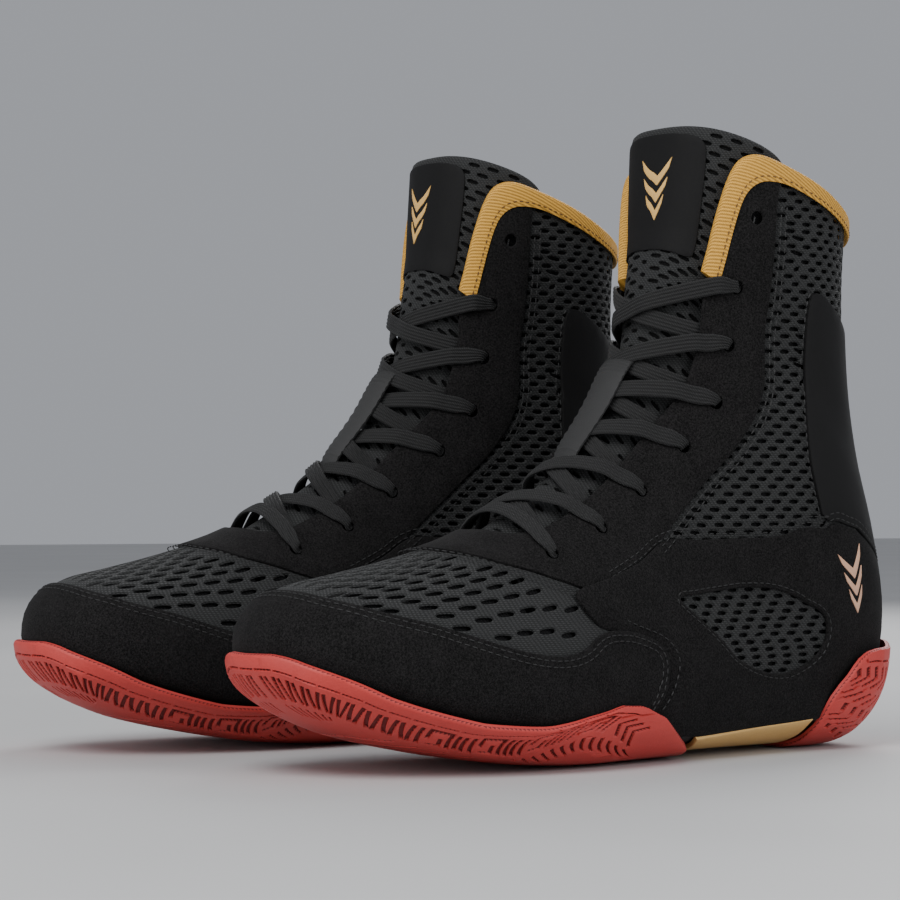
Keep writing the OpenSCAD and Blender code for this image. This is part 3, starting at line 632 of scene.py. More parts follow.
# Mesh fabric: rows of short slots, every second row shifted by half a pitch
SLOT_PITCH, ROW_PITCH = 8.2, 2.8
SLOT = ring(2.25, 0.78, 10, 2.6)
LONG_SLOT = ring(3.6, 1.0, 12, 2.4)


def well_inside(slots, flat_outline, margin):
    """The slots that keep a margin inside the outline."""
    return [h for h in slots if inside(inset(PLAIN, turned_ccw(h), -margin), flat_outline).all()]


def level_slots(outline, s_range, a_range, skip=None):
    """Slots on level rows of the shaft and quarter, measured from the back seam."""
    slots = []
    s_line = np.linspace(*s_range, 160)
    a_line = np.linspace(*a_range, 120)
    height = skin(s_line[:, None], a_line[None, :])[..., 2]
    for row, z in enumerate(np.arange(height.min(), height.max(), ROW_PITCH)):
        hit = [(np.interp(z, height[:, k], s_line), a) for k, a in enumerate(a_line)
               if height[0, k] < z < height[-1, k]]
        if len(hit) < 4:
            continue
        line = np.array(hit)
        run = travel(skin(line[:, 0], line[:, 1]))
        run = run - run[-1]
        first = -SLOT_PITCH * (row % 2) / 2
        for mark in np.arange(first, run[0], -SLOT_PITCH):
            s, a = columns_at(mark, run, line)
            if skip is not None and skip(s, a):
                continue
            ahead = skin(s, a + 1) - skin(s, a - 1)
            slots.append(stamp(PLAIN, (s, a), SLOT, np.array([ahead[0], ahead[1], 0])))
    return well_inside(slots, PLAIN.flat(outline), 1.0)


def lengthwise_slots(outline, s_range, half_width, pitch=9.8, row_pitch=3.6):
    """Slots on rows that run from toe to heel over the vamp."""
    slots = []
    s_line = np.linspace(*s_range, 120)
    a_line = np.linspace(-88, 88, 177)
    across = skin(s_line[:, None], a_line[None, :])[..., 0]
    for row, x in enumerate(np.arange(-half_width, half_width, row_pitch)):
        line = np.array([(s, np.interp(x, across[k], a_line)) for k, s in enumerate(s_line)])
        run = travel(skin(line[:, 0], line[:, 1]))
        for mark in np.arange(pitch * (row % 2) / 2, run[-1], pitch):
            s, a = columns_at(mark, run, line)
            slots.append(stamp(PLAIN, (s, a), LONG_SLOT, skin(s + 0.1, a) - skin(s - 0.1, a)))
    return well_inside(slots, PLAIN.flat(outline), 0.2)


MESH_TOP, MESH_THICK = -1.3, 0.7


def mesh_sheet(outline, slots):
    return sheet(PLAIN, PLAIN.flat(outline), MESH_TOP, MESH_THICK, holes=slots, hole_lip=0.55, spacing=3.0,
                 edge=2.5)


def vamp_mesh_outline():
    """The fabric runs on a little under the cap, the eyestay and the heel overlay."""
    half = [(1.5, 0), (1.55, 18), (1.76, 36), (2.26, 51), (2.7, 57), (3.2, 62), (3.72, 67.6), (4.24, 72.3),
            (4.8, 75.2), (5.3, 76.4), (5.9, 76.6), (6.6, 77), (7.0, 77.5), (7.1, 72), (7.0, 66), (7.6, 61),
            (8.3, 59.5), (8.5, 56), (8.3, 52.5), (7.5, 53.5), (6.6, 53), (6.1, 48), (5.6, 39), (5.1, 28),
            (4.8, 14), (4.75, 0)]
    low, high = np.array(half[:18]), np.array(half[18:])
    return np.vstack([low, high, high[::-1][1:] * MIRROR, low[::-1][:-1] * MIRROR])


def vamp_slot_area():
    low = smooth([(1.6, 0), (1.66, 18), (1.88, 36), (2.38, 50), (3.3, 61), (4.34, 71), (5.2, 75),
                  (6.15, 70.5)], 5)
    high = smooth([(5.9, 53), (5.5, 44.5), (4.95, 33), (4.65, 22), (4.45, 11), (4.4, 0)], 5)
    half = np.vstack([low, high])
    return np.vstack([half, half[::-1][1:-1] * MIRROR])


def quarter_outline():
    front = [(8.0, 54), (8.3, 52), (9, 51), (9.8, 51), (10.6, 52), (11.5, 55), (12.4, 59.5), (13.5, 65),
             (14.3, 68), (15, 70.5), (15.6, 72.5), (16.3, 74), (17.1, 75), (17.8, 75), (18.6, 75)]
    top = [(18.85, 79), (18.95, 84), (18.98, 100), (18.98, 140), (18.98, 179.4)]
    low = [(lookup(a, OVERLAY_TOP) - 0.22, a) for a in np.linspace(179.4, 58, 40)]
    return np.array(front + top + low)


def under_ankle_patch(s, a):
    return s < 16.75 and a > lookup(s, ANKLE_FRONT) + 5


def other_side(shape):
    """The same panel on the inner side of the boot."""
    return np.array([[s, 360 - a] for s, a in shape])


def flip_slots(slots):
    """Slots of the outer quarter carried to the inner one."""
    flipped = []
    for h in slots:
        s, a = PLAIN.places(h)
        flipped.append(PLAIN.flat(np.stack([s, 360 - a], -1)))
    return flipped


def window_edges():
    """The teardrop windows' edges on the outer and the inner side, in flat coordinates."""
    edge = smooth(WINDOW, 4, closed=True)
    return [PLAIN.flat(edge), PLAIN.flat(other_side(edge))]


def build_upper():
    eyelets = [stamp(PLAIN, (s, k * a), ring(2.5, 2.5, 18), skin(s + 0.1, k * a) - skin(s - 0.1, k * a))
               for s, a in EYELETS for k in (1, -1)]
    shape = sheet(PLAIN, PLAIN.flat(eyestay_outline()), 0, 1.2, holes=eyelets, hole_lip=0.3,
                  relief=undulation(0.12, 14, 1.0))
    piece("eyestay_panel", shape, SUEDE, ["eyestay"])
    shape = sheet(POLAR, POLAR.flat(cap_outline()), 0, 1.2, relief=undulation(0.06, 16, 2.0))
    piece("toe_cap_panel", shape, SUEDE, ["toe_cap"])
    openings = [resample(PLAIN, edge, 1.5) for edge in window_edges()]
    shape = sheet(PLAIN, PLAIN.flat(overlay_outline()), overlay_depth, 1.1, holes=openings, hole_lip=0.5,
                  relief=undulation(0.08, 15, 3.0))
    piece("heel_overlay_panel", shape, SUEDE, ["heel_overlay"])
    stay_low = [(lookup(a, OVERLAY_TOP) + 0.06, a) for a in np.linspace(180, 96, 24)]
    stay_half = np.vstack([stay_low, smooth(ANKLE_FRONT, 4), [(17.2, 120), (17.2, 150), (17.2, 179.9)]])
    stay = np.vstack([stay_half, other_side(stay_half[::-1])])
    shape = sheet(PLAIN, PLAIN.flat(stay), 0, 1.15, relief=undulation(0.08, 17, 4.0))
    piece("back_stay_panel", shape, SUEDE_SMOOTH, ["back_stay"])

    outline = vamp_mesh_outline()
    slots = lengthwise_slots(vamp_slot_area(), (1.5, 6.4), 50)
    piece("vamp_mesh_panel", mesh_sheet(outline, slots), MESH, ["vamp_mesh"])
    outline = quarter_outline()
    slots = level_slots(outline, (7.9, 18.9), (50, 179.5), skip=under_ankle_patch)
    piece("quarter_mesh_outer_panel", mesh_sheet(outline, slots), MESH, ["quarter_mesh_outer"])
    piece("quarter_mesh_inner_panel", mesh_sheet(other_side(outline), flip_slots(slots)), MESH,
          ["quarter_mesh_inner"])
    outline = np.array([(7.9, 68), (9.5, 75), (10.6, 83), (11.25, 92), (11.35, 103), (10.6, 112.5),
        (9.6, 113), (8.8, 104), (8.4, 93), (8.1, 80)])
    slots = level_slots(outline, (7.5, 11.6), (66, 115))
    shape = joined([mesh_sheet(outline, slots), mesh_sheet(other_side(outline), flip_slots(slots))])
    piece("window_mesh_panels", shape, MESH, ["window_mesh"])


LINING_TOP, LINING_IN = -3.5, -4.3


def lining_shell(s, a, closed=False):
    return slab(at(s, a, np.full(s.shape, LINING_TOP)), at(s, a, np.full(s.shape, LINING_IN)), closed)


def build_linings():
    angles = np.linspace(0, 360, 72, endpoint=False)
    places = np.array([0.03, 0.2, 0.4, 0.75, 1.2, 1.8, 2.4, 3, 3.6, 4.3, 5])
    s, a = np.meshgrid(places, angles, indexing="ij")
    piece("toe_lining", lining_shell(s, a, closed=True), LINING, ["vamp_lining"])
    edge = [[5.1, 34], [7, 47], [8.4, 47], [10, 49], [11.6, 52], [13.3, 54], [14.9, 55], [16.4, 58.5],
            [17.5, 62], [18.2, 66.5], [18.6, 74]]
    top = [[58, 16.4], [62, 17.6], [66, 18.3], [70, 18.65], [76, 18.85], [84, 18.93], [180, 18.97]]
    rows = []
    for t in np.linspace(0, 1, 56):
        place = 5.12 + t * 13.3
        front = lookup(place, edge)
        a_row = np.linspace(front, 360 - front, 81)
        reach = lookup(np.minimum(a_row, 360 - a_row), top)
        rows.append(np.stack([5.12 + t * (reach - 5.12), a_row], -1))
    grid = np.array(rows)
    piece("quarter_lining_sock", lining_shell(grid[..., 0], grid[..., 1]), LINING, ["quarter_lining"])
    s, a = np.meshgrid(np.linspace(1.05, 11.15, 60), np.linspace(136, 224, 33), indexing="ij")
    bottom = np.full(s.shape, -5.4)
    rim = np.minimum(1, np.minimum((a - 134) / 6, (226 - a) / 6))
    shape = slab(at(s, a, bottom), at(s, a, bottom - 3 * rim))
    piece("sockliner_pad", shape, LINING, ["sockliner"])


def tube(grid):
    """Closed tube through rings of points."""
    count = grid.shape[1]
    faces = grid_faces(len(grid), count, closed=True)
    faces += [tuple(range(count - 1, -1, -1)), tuple((len(grid) - 1) * count + k for k in range(count))]
    return grid.reshape(-1, 3), oriented(grid, faces)


def build_binding():
    """Collar binding: a tape folded over the padded edge."""
    edge = smooth(both_sides(COLLAR_EDGE), 6)
    low = smooth(both_sides(COLLAR_INSET), 6)
    run = travel(skin(edge[:, 0], edge[:, 1]))
    marks = np.linspace(0, run[-1], 230)
    edge, low = columns_at(marks, run, edge), columns_at(marks, run, low)
    outer, inner = 0.62, -4.75
    middle, half = (outer + inner) / 2, (outer - inner) / 2
    profile = [(0, -0.1), (0.0, 0.4), (0.08, 0.58), (0.35, outer), (0.78, outer)]
    arc = [(0.78 + 0.26 * math.sin(t), middle + half * math.cos(t)) for t in np.linspace(0.35,
        math.pi - 0.35, 9)]
    profile += arc + [(0.78, inner), (0.3, inner), (0.05, inner + 0.1), (0.0, inner + 0.5), (0.3, -3.4),
        (0.3, -1.4)]
    rows = []
    for t, depth in profile:
        place = low + t * (edge - low)
        rows.append(at(place[:, 0], place[:, 1], np.full(len(place), depth)))
    shape = tube(np.array(rows).transpose(1, 0, 2))
    piece("collar_tape", shape, GOLD_TAPE, ["collar_binding"], sharp=60)
    seam = low + 0.2 * (edge - low)
    stitches = stitch_line(PLAIN, PLAIN.flat(seam), 0, 0.66, 2.6, 1.7, 0.5)
    piece("collar_stitches", stitches, TAN_THREAD)


def oriented(grid, faces):
    """Faces of a closed tube, turned round if they point inwards."""
    p = grid.reshape(-1, 3)
    volume = sum(np.dot(p[f[0]], np.cross(p[f[k]], p[f[k + 1]])) for f in faces for k in range(1,
        len(f) - 1))
    return faces if volume > 0 else [f[::-1] for f in faces]


# Stitches: small capsules that follow a line over the surface
def capsule(length, width, height):
    rings = [(-0.5, 0.0), (-0.42, 0.6), (-0.2, 1.0), (0.2, 1.0), (0.42, 0.6), (0.5, 0.0)]
    points = [(rings[0][0] * length, 0, -0.2 * height)]
    for x, r in rings[1:-1]:
        for k in range(6):
            t = k * math.pi / 3
            points.append((x * length, r * width / 2 * math.cos(t), r * height / 2 * math.sin(t)))
    points.append((rings[-1][0] * length, 0, -0.2 * height))
    faces = [(0, 1 + (k + 1) % 6, 1 + k) for k in range(6)]
    for i in range(3):
        faces += [(1 + 6 * i + k, 1 + 6 * i + (k + 1) % 6, 7 + 6 * i + (k + 1) % 6, 7 + 6 * i + k)
                  for k in range(6)]
    faces += [(25, 19 + k, 19 + (k + 1) % 6) for k in range(6)]
    return np.array(points), faces


def stitch_line(chart, line, offset, depth, pitch=3.0, length=2.2, width=0.5, keep=None, closed=False):
    """Stitches along a line of the chart, moved sideways by a distance."""
    moved = inset(chart, line, offset, closed) if offset else line
    spots = resample(chart, moved, pitch, closed)
    ahead = np.roll(spots, -1, 0) - np.roll(spots, 1, 0) if closed else np.gradient(spots, axis=0)
    s, a = chart.places(spots)
    mask = np.ones(len(s), bool) if keep is None else keep(s, a)
    du, dv = tangents(chart, spots)
    x = unit(du * ahead[:, :1] + dv * ahead[:, 1:])
    n = normal(s, a)
    y = np.cross(n, x)
    centre = at(s, a, np.full(len(s), depth))
    shape, faces = capsule(length, width, width)
    parts = []
    for c, i, j, k in zip(centre[mask], x[mask], y[mask], n[mask]):
        parts.append((c + shape[:, :1] * i + shape[:, 1:2] * j + shape[:, 2:] * k, faces))
    return joined(parts)


def seam_pair(line, offset, depth):
    """The same row of stitches on the outer and the inner side."""
    return [stitch_line(PLAIN, PLAIN.flat(line), -offset, depth),
            stitch_line(PLAIN, PLAIN.flat(other_side(line)), offset, depth)]


def build_stitches():
    double_row = (1.8, 4.0)
    on_suede, on_overlay = 0.06, 0.02
    rows = []
    outer = smooth(EYESTAY_OUTER, 5)
    for offset in double_row:
        for line in (outer, outer[::-1] * MIRROR):
            rows.append(stitch_line(PLAIN, PLAIN.flat(line), -offset, on_suede, keep=lambda s, a: s < 18.3))
    cap = POLAR.flat(cap_line()[12:-12])
    for offset in double_row:
        rows.append(stitch_line(POLAR, cap, offset, on_suede))
    top = smooth([(6.9, 57.6), (7.6, 57.2), (8.25, 57), (9.05, 63), (9.8, 69), (10.7, 76), (11.6, 83),
                  (12.1, 88.5), (12.55, 94), (12.85, 102), (13.1, 110), (13.3, 120), (13.45, 130),
                  (13.67, 154), (13.8, 180)], 4)
    for offset in double_row:
        rows += seam_pair(top, offset, on_overlay)
    front = smooth([(7.25, 107), (7.5, 95), (7.78, 85), (7.6, 77), (7.0, 69.5), (6.4, 62)], 5)
    rows += seam_pair(front, 2.2, on_overlay)
    for edge in window_edges():
        rows.append(stitch_line(PLAIN, turned_ccw(edge), -1.6, on_overlay, closed=True))
    rows += seam_pair(smooth(ANKLE_FRONT, 4), 1.6, on_suede)
    piece("seam_stitches", joined(rows), THREAD)


# Tongue: one padded tongue from the throat to above the collar
TONGUE_HALF = [[5.1, 20], [5.5, 26], [7, 36], [10, 40], [13, 46], [14.2, 50], [15, 56], [16, 63], [17.5, 73],
               [18.4, 81]]
TONGUE_TOP = [(18.4, 81), (18.9, 85), (19.25, 86), (19.45, 82), (19.54, 74), (19.58, 60), (19.6, 40),
              (19.6, 20), (19.6, 0)]


def tongue_depth(s, a):
    """The tongue bulges between the eyestays, and its rim turns in."""
    half = lookup(s, TONGUE_HALF)
    v = np.clip(np.abs(a) / half, 0, 1)
    crown = lookup(s, [[5.1, 0.4], [6.5, 2.2], [13, 2.6], [14.6, 1.6], [16, 0.4], [19, 0.3]])
    end = np.clip((19.6 - s) / 0.25, 0, 1)
    return -5.1 + crown * (1 - v**2) - 1.2 * v**6 - 1.0 * (1 - end)**2


def build_tongue():
    half = np.vstack([smooth(TONGUE_HALF, 4), smooth(TONGUE_TOP, 4)[1:]])
    outline = PLAIN.flat(np.vstack([half, half[::-1][1:] * MIRROR]))
    slot, step = ring(2.9, 0.85, 12, 2.6), 14.0
    slots = []
    for row, s in enumerate(np.arange(5.6, 19.5, 0.27)):
        for a in np.arange(-91 + step * (row % 2) / 2, 91, step):
            under_patch = 15.2 < s and abs(a) < 33
            if abs(a) < lookup(s, TONGUE_HALF) and not under_patch:
                slots.append(stamp(PLAIN, (s, a), slot, skin(s, a + 1) - skin(s, a - 1)))
    shape = sheet(PLAIN, outline, tongue_depth, 3.6, grooves=well_inside(slots, outline, 1.0),
        groove_depth=1.0, lip=1.1, spacing=2.6)
    # The slot floors take a near-black material: painted shade in the slots.
    made = piece("tongue_pad", shape, MESH, ["tongue", "tongue_top"], tongue=True, deep=MESH_SLOT_SHADE)
    patch = smooth([(15.0, 0), (15.05, 18), (15.15, 31), (15.5, 35), (17, 36.5), (18.6, 36.5), (19.1, 34),
                    (19.28, 24), (19.34, 0)], 5)
    patch = np.vstack([patch, patch[::-1][1:-1] * MIRROR])
    shape = sheet(PLAIN, PLAIN.flat(patch), lambda s, a: tongue_depth(s, a) + 0.75, 0.7, lip=0.35,
        spacing=2.4)
    piece("tongue_patch_panel", shape, SUEDE_SMOOTH, ["tongue_patch"], tongue=True)
    up = skin(17.4, 0) - skin(17.2, 0)
    mark = chevron_mark((17.3, 3), up, 17, 24, lambda s, a: tongue_depth(s, a) + 1.05)
    piece("tongue_mark", mark, GOLD_PRINT, ["tongue_emblem"], tongue=True)


def chevron_mark(place, up, wide, tall, depth):
    """Generic mark: three nested chevrons that grow narrower downwards."""
    parts = []
    for k in range(3):
        half = wide / 2 * (1 - 0.22 * k)
        top = tall * (0.5 - 0.27 * k)
        drop, bar = 0.26 * tall, 0.15 * tall
        shape = np.array([(top, -half), (top - drop, 0), (top, half), (top - bar, half * 0.82),
                          (top - drop - bar, 0), (top - bar, -half * 0.82)])
        parts.append(sheet(PLAIN, stamp(PLAIN, place, shape, up), depth, 0.35, lip=0.12, edge=1.0,
            spacing=2.0))
    return joined(parts)


def build_heel_mark():
    mark = chevron_mark((12.2, 108), np.array([0, -0.25, 1.0]), 15, 26, 0.28)
    piece("heel_mark", mark, ROSE_PRINT, ["heel_emblem"])


# Laces: one flat ribbed cord, through all the eyelets but the top pair
LACED = len(EYELETS) - 1
OVER, UNDER = 0.95, -2.5  # depths of the lace over and under the eyestay
THROAT = [[5.2, 0], [5.5, 21], [5.9, 27], [7, 29], [8.35, 29], [10, 32], [11.7, 36], [13, 38], [14.65, 41],
          [15, 50], [17.6, 58]]


def taut(start, end, stops):
    """Places where a lace pulled straight from start to end passes each angle, at the given depth."""
    p0, p1 = at(*start), at(*end)
    middle = normal((start[0] + end[0]) / 2, (start[1] + end[1]) / 2)
    level = unit(np.cross(p1 - p0, middle))
    out = []
    for a, depth in stops:
        low, high = start[0] - 3, end[0] + 3
        rising = np.dot(at(high, a, depth) - p0, level) > 0
        for _ in range(24):
            s = (low + high) / 2
            if (np.dot(at(s, a, depth) - p0, level) > 0) == rising:
                high = s
            else:
                low = s
        out.append(((low + high) / 2, a, depth))
    return out


def lace_strand(i, side, crossing):
    """From hole i on one side, under the eyestay, over the tongue and down into hole i + 1."""
    (s0, a0), (s1, a1) = EYELETS[i], EYELETS[i + 1]
    near, far = lookup(s0 + 0.3, THROAT), lookup(s1 - 0.3, THROAT)
    raised = OVER + (1.0 if i == LACED - 2 else 0.0)
    start = (s0 + 0.08, side * (a0 - 2), UNDER)
    end = (s1, -side * (a1 - 1), OVER)
    stops = [(side * (near + 1), UNDER), (side * (near - 7), -1.6), (side * 12, crossing - 0.3),
        (0, crossing), (-side * 12, crossing), (-side * (far - 5), max(crossing, raised) + 0.2),
        (-side * (far + 3), raised), (-side * (a1 - 4), OVER + 0.1)]
    return [(s0, side * a0, -0.6), start, *taut(start, end, stops), (s1, -side * (a1 - 0.6), 0.6)]


def build_laces():
    def climb(side):
        sides = [side if i % 2 == 0 else -side for i in range(LACED - 1)]
        return [p for i, k in enumerate(sides) for p in lace_strand(i, k, 1.8 if k < 0 else 0.2)]

    def tail(side):
        return [(s_top, side * a_top, -0.6), (s_top + 0.1, side * (a_top + 0.6), UNDER),
                (s_top + 0.5, side * 62.5, UNDER), (s_top + 1.0, side * 65.5, UNDER),
                (s_top + 1.6, side * 67, UNDER)]

    s0, a0 = EYELETS[0]
    s_top, a_top = EYELETS[LACED - 1]
    bar_half = [(s0, a0 - 0.6, 0.7), (s0 - 0.03, a0 - 5, OVER + 0.1), (s0 - 0.05, 26, OVER + 0.3),
                (s0 - 0.08, 13, 1.6)]
    bar = bar_half + [(s0 - 0.08, 0, 1.7)] + [(s, -a, depth) for s, a, depth in bar_half[::-1]]
    route = np.array(tail(1)[::-1] + climb(1)[::-1] + bar + climb(-1) + tail(-1))
    centre = smooth(at(route[:, 0], route[:, 1], route[:, 2]), 7)
    places = smooth(route[:, :2], 7)
    up = normal(places[:, 0], places[:, 1])
    run = travel(centre)
    marks = np.arange(0, run[-1], 0.9)
    centre, up = columns_at(marks, run, centre), unit(columns_at(marks, run, up))
    along = unit(np.gradient(centre, axis=0))
    level = np.linalg.norm(along - (along * up).sum(1, keepdims=True) * up, axis=1)
    wide = unit(np.cross(up, along))
    steep = level < 0.75
    wide[steep] = columns_at(marks[steep], marks[~steep], wide[~steep])
    wide = unit(wide - (wide * along).sum(1, keepdims=True) * along)
    for k in range(1, len(wide)):
        if np.dot(wide[k], wide[k - 1]) < 0:
            wide[k] = -wide[k]
    for _ in range(3):
        wide[1:-1] = unit(wide[:-2] + wide[1:-1] * 2 + wide[2:])
    thick = np.cross(along, wide)
    holes = np.array([at(s, k * a, np.zeros(())) for s, a in EYELETS[:LACED] for k in (1, -1)])
    nearness = np.linalg.norm(centre[:, None] - holes[None], axis=2).min(1)
    width = 3.3 - 1.1 * np.clip(1 - (nearness - 1.5) / 5, 0, 1)
    half_height = 0.62
    x = np.linspace(-1, 1, 25)
    ribs = 1 + 0.34 * np.cos(x * math.pi * 5)
    top = np.stack([x, ribs * np.sqrt(np.clip(1 - x**6, 0, 1))], -1)
    profile = np.vstack([top, top[::-1][1:-1] * MIRROR])
    grid = (centre[:, None] + wide[:, None] * (profile[:, 0] * width[:, None])[..., None]
            + thick[:, None] * (profile[:, 1] * half_height)[:, None])
    piece("flat_lace", tube(grid), LACE, ["lace"], sharp=70)


def build_keeper():
    """Webbing loop on the tongue that the lace passes through."""
    path = [(7.3, -2.6), (7.5, -0.8), (7.8, 1.8), (8.2, 3.2), (8.8, 3.7), (9.5, 3.9), (10.1, 3.9),
        (10.5, 3.4), (10.7, 2.1), (10.6, 0.2), (10.3, -1.8)]
    line = smooth(path, 5)
    across = np.linspace(-1, 1, 17)
    rows_out, rows_in = [], []
    for k, (s, depth) in enumerate(line):
        angle = across * 10
        rib = 0.22 * math.cos(k * math.pi)
        crown = -0.25 * across**4
        rows_out.append(at(np.full(17, s), angle, depth + crown + rib))
        rows_in.append(at(np.full(17, s), angle, depth + crown - 0.9))
    outer, inner = np.array(rows_out), np.array(rows_in)
    points, faces = slab(outer, inner)
    piece("lace_keeper_loop", (points, oriented(points[:, None], faces)), WEBBING, ["lace_keeper"])


# Soles: smooth top band, a groove, and moulded zigzags below it
FOREFOOT_EDGE = [[0, 90], [0.45, 91], [0.95, 101], [2.45, 114], [3.95, 117], [4.95, 110], [5.65, 99],
    [6.3, 93], [6.75, 96], [7.15, 108]]
GAP, SOLE_WALL = 0.7, 2.1
RUBBER_THICK, TREAD_WIDTH, TREAD_DEPTH = 2.0, 1.75, 1.1


def under_foot(s):
    return lookup(s, [[0, 0], [1, 0.3], [2, 0.75], [3, 0.97], [5, 1], [11.1, 1], [12, 0.55], [13, 0]])


def rubber_outside(s, a):
    """Depth of the rubber's outside: a thin wall at its top edge, the whole stack under the foot."""
    b = np.where(a < 0, -a, a)
    b = np.where(b > 180, 360 - b, b)
    deep = GAP + SOLE_WALL + (SOLE_STACK + 0.6 - GAP - SOLE_WALL) * under_foot(s)
    share = lookup(b, [[90, 0], [110, 0.16], [128, 0.45], [145, 1], [180, 1]])
    return np.minimum(deep, GAP + SOLE_WALL + (SOLE_STACK - SOLE_WALL) * share)


def stroke(line, width):
    """Outline of a pen stroke along a line of points in millimetres."""
    p = np.asarray(line, float)
    d = unit(np.diff(p, axis=0))
    t = unit(np.vstack([d[:1], d[:-1] + d[1:], d[-1:]]))
    n = np.stack([-t[:, 1], t[:, 0]], -1)
    reach = np.ones(len(p))
    for k in range(1, len(p) - 1):
        reach[k] = 1 / max(0.45, abs(np.dot(n[k], [-d[k][1], d[k][0]])))
    side = n * reach[:, None] * width / 2
    return np.vstack([p - side, (p + side)[::-1]])


def fine(line, step=1.6):
    """The line with points added so that none are much further apart than the step."""
    out = []
    for p, q in zip(line[:-1], line[1:]):
        p, q = np.array(p, float), np.array(q, float)
        n = max(1, int(round(np.linalg.norm(q - p) / step)))
        out += [p + (q - p) * k / n for k in range(n)]
    return out + [np.array(line[-1], float)]


class Band:
    """The strip below a sole's top edge: p runs along the edge and q down from it, in millimetres."""
    def __init__(self, chart, edge, foot):
        self.edge, self.foot = edge, foot
        share = np.linspace(0, 1, 40)
        rows = edge[:, None] + (foot - edge)[:, None] * share[None, :, None]
        s, a = chart.places(rows)
        spots = at(s, a, rubber_outside(s, a))
        self.down = np.concatenate([np.zeros((len(edge), 1)),
                                    np.cumsum(np.linalg.norm(np.diff(spots, axis=1), axis=2), axis=1)], 1)
        self.along = travel(spots[:, 6])
        self.length = self.along[-1]
        self.share = share

    def depth_at(self, p):
        return np.interp(p, self.along, self.down[:, -1])

    def flat(self, points):
        out = []
        for p, q in points:
            e = np.array([np.interp(p, self.along, self.edge[:, k]) for k in (0, 1)])
            f = np.array([np.interp(p, self.along, self.foot[:, k]) for k in (0, 1)])
            row = np.interp(p, self.along, np.arange(len(self.along)))
            i = int(min(row, len(self.along) - 2))
            down = self.down[i] + (self.down[i + 1] - self.down[i]) * (row - i)
            w = np.interp(q, down, self.share)
            out.append(e + (f - e) * w)
        return np.array(out)

    def grooves(self, lines, width):
        made = []
        for line in lines:
            inside_band = [(p, q) for p, q in fine(line)
                           if 2 < p < self.length - 2 and q < self.depth_at(p) - 1.6]
            if len(inside_band) > 2:
                made.append(self.flat(stroke(inside_band, width)))
        return made


def broken_line(band, end, start=6, q=5.4, width=0.8, pitch=9.0, gap=0.9):
    """The broken line that runs below the smooth band."""
    return band.grooves([[(p, q), (p + pitch - gap, q)] for p in np.arange(start, end - pitch, pitch)],
        width)


def build_forefoot_sole():
    s_edge = np.concatenate([[0.03, 0.12, 0.25], np.arange(0.45, 7.16, 0.12), [7.15]])
    a_edge = lookup(s_edge, FOREFOOT_EDGE)
    outer_edge = POLAR.flat(np.stack([s_edge, a_edge], -1))
    foot_s = np.maximum(s_edge, 2.1)
    foot_a = lookup(s_edge, [[0, 180], [1.2, 166], [2.2, 154], [3.5, 150], [6, 150], [7.15, 152]])
    foot = POLAR.flat(np.stack([foot_s, foot_a], -1))
    mirror = np.array([-1, 1])
    edge = np.vstack([(outer_edge * mirror)[::-1], outer_edge])
    foot = np.vstack([(foot * mirror)[::-1], foot])
    band = Band(POLAR, edge, foot)
    rear = POLAR.flat(smooth([(7.15, 108), (7.38, 122), (7.6, 134), (7.85, 147), (7.97, 163), (8.0, 180)],
        5))
    outline = np.vstack([edge, rear[1:], (rear * mirror)[::-1][1:-1]])
    strokes = []
    for p in np.arange(3, 62, 6.4):
        strokes += [[(p, 7.8), (p + 0.4, 18.5)], [(p + 2.2, 8.0), (p + 4.9, 18.2)]]
    for p in np.arange(67, 146, 20.0):
        strokes += [[(p, 7.8), (p, 18.5)], [(p + 3.2, 7.8), (p + 3.4, 18.5)],
            [(p + 6.6, 13), (p + 6.4, 8.2), (p + 14.5, 8.2), (p + 14.6, 18)],
            [(p + 6.6, 16.2), (p + 11.4, 16.2), (p + 11.4, 11.4)], [(p + 17.4, 7.8), (p + 17.4, 18.5)]]
    strokes += [[(p + 5.2, 7.9), (p, 13.2), (p + 4.8, 19)] for p in np.arange(149, 188, 5.2)]
    strokes += [[(p, 21.2), (p + 2.6, 29)] for p in np.arange(6, 186, 4.6)]
    middle = band.length / 2
    lines = [[(middle + sign * p, q) for p, q in line] for sign in (-1, 1) for line in strokes]
    grooves = band.grooves(lines, TREAD_WIDTH) + broken_line(band, band.length - 7)
    for s in np.arange(2.7, 7.7, 0.42):
        v = np.linspace(-24, 24, 17)
        line = np.stack([s + 0.011 * np.abs(v), 180 + v], -1)
        ahead = line + np.array([0.1, 0])
        grooves.append(POLAR.flat(np.vstack([line, ahead[::-1]])))
    shape = sheet(POLAR, outline, rubber_outside, RUBBER_THICK, grooves=grooves, lip=0.9, spacing=3.4,
                  groove_depth=TREAD_DEPTH)
    # The tread groove floors take a darker red: painted shade.
    piece("forefoot_sole", shape, RUBBER, ["outsole_forefoot"], floor=0.0, deep=RUBBER_GROOVE_SHADE)


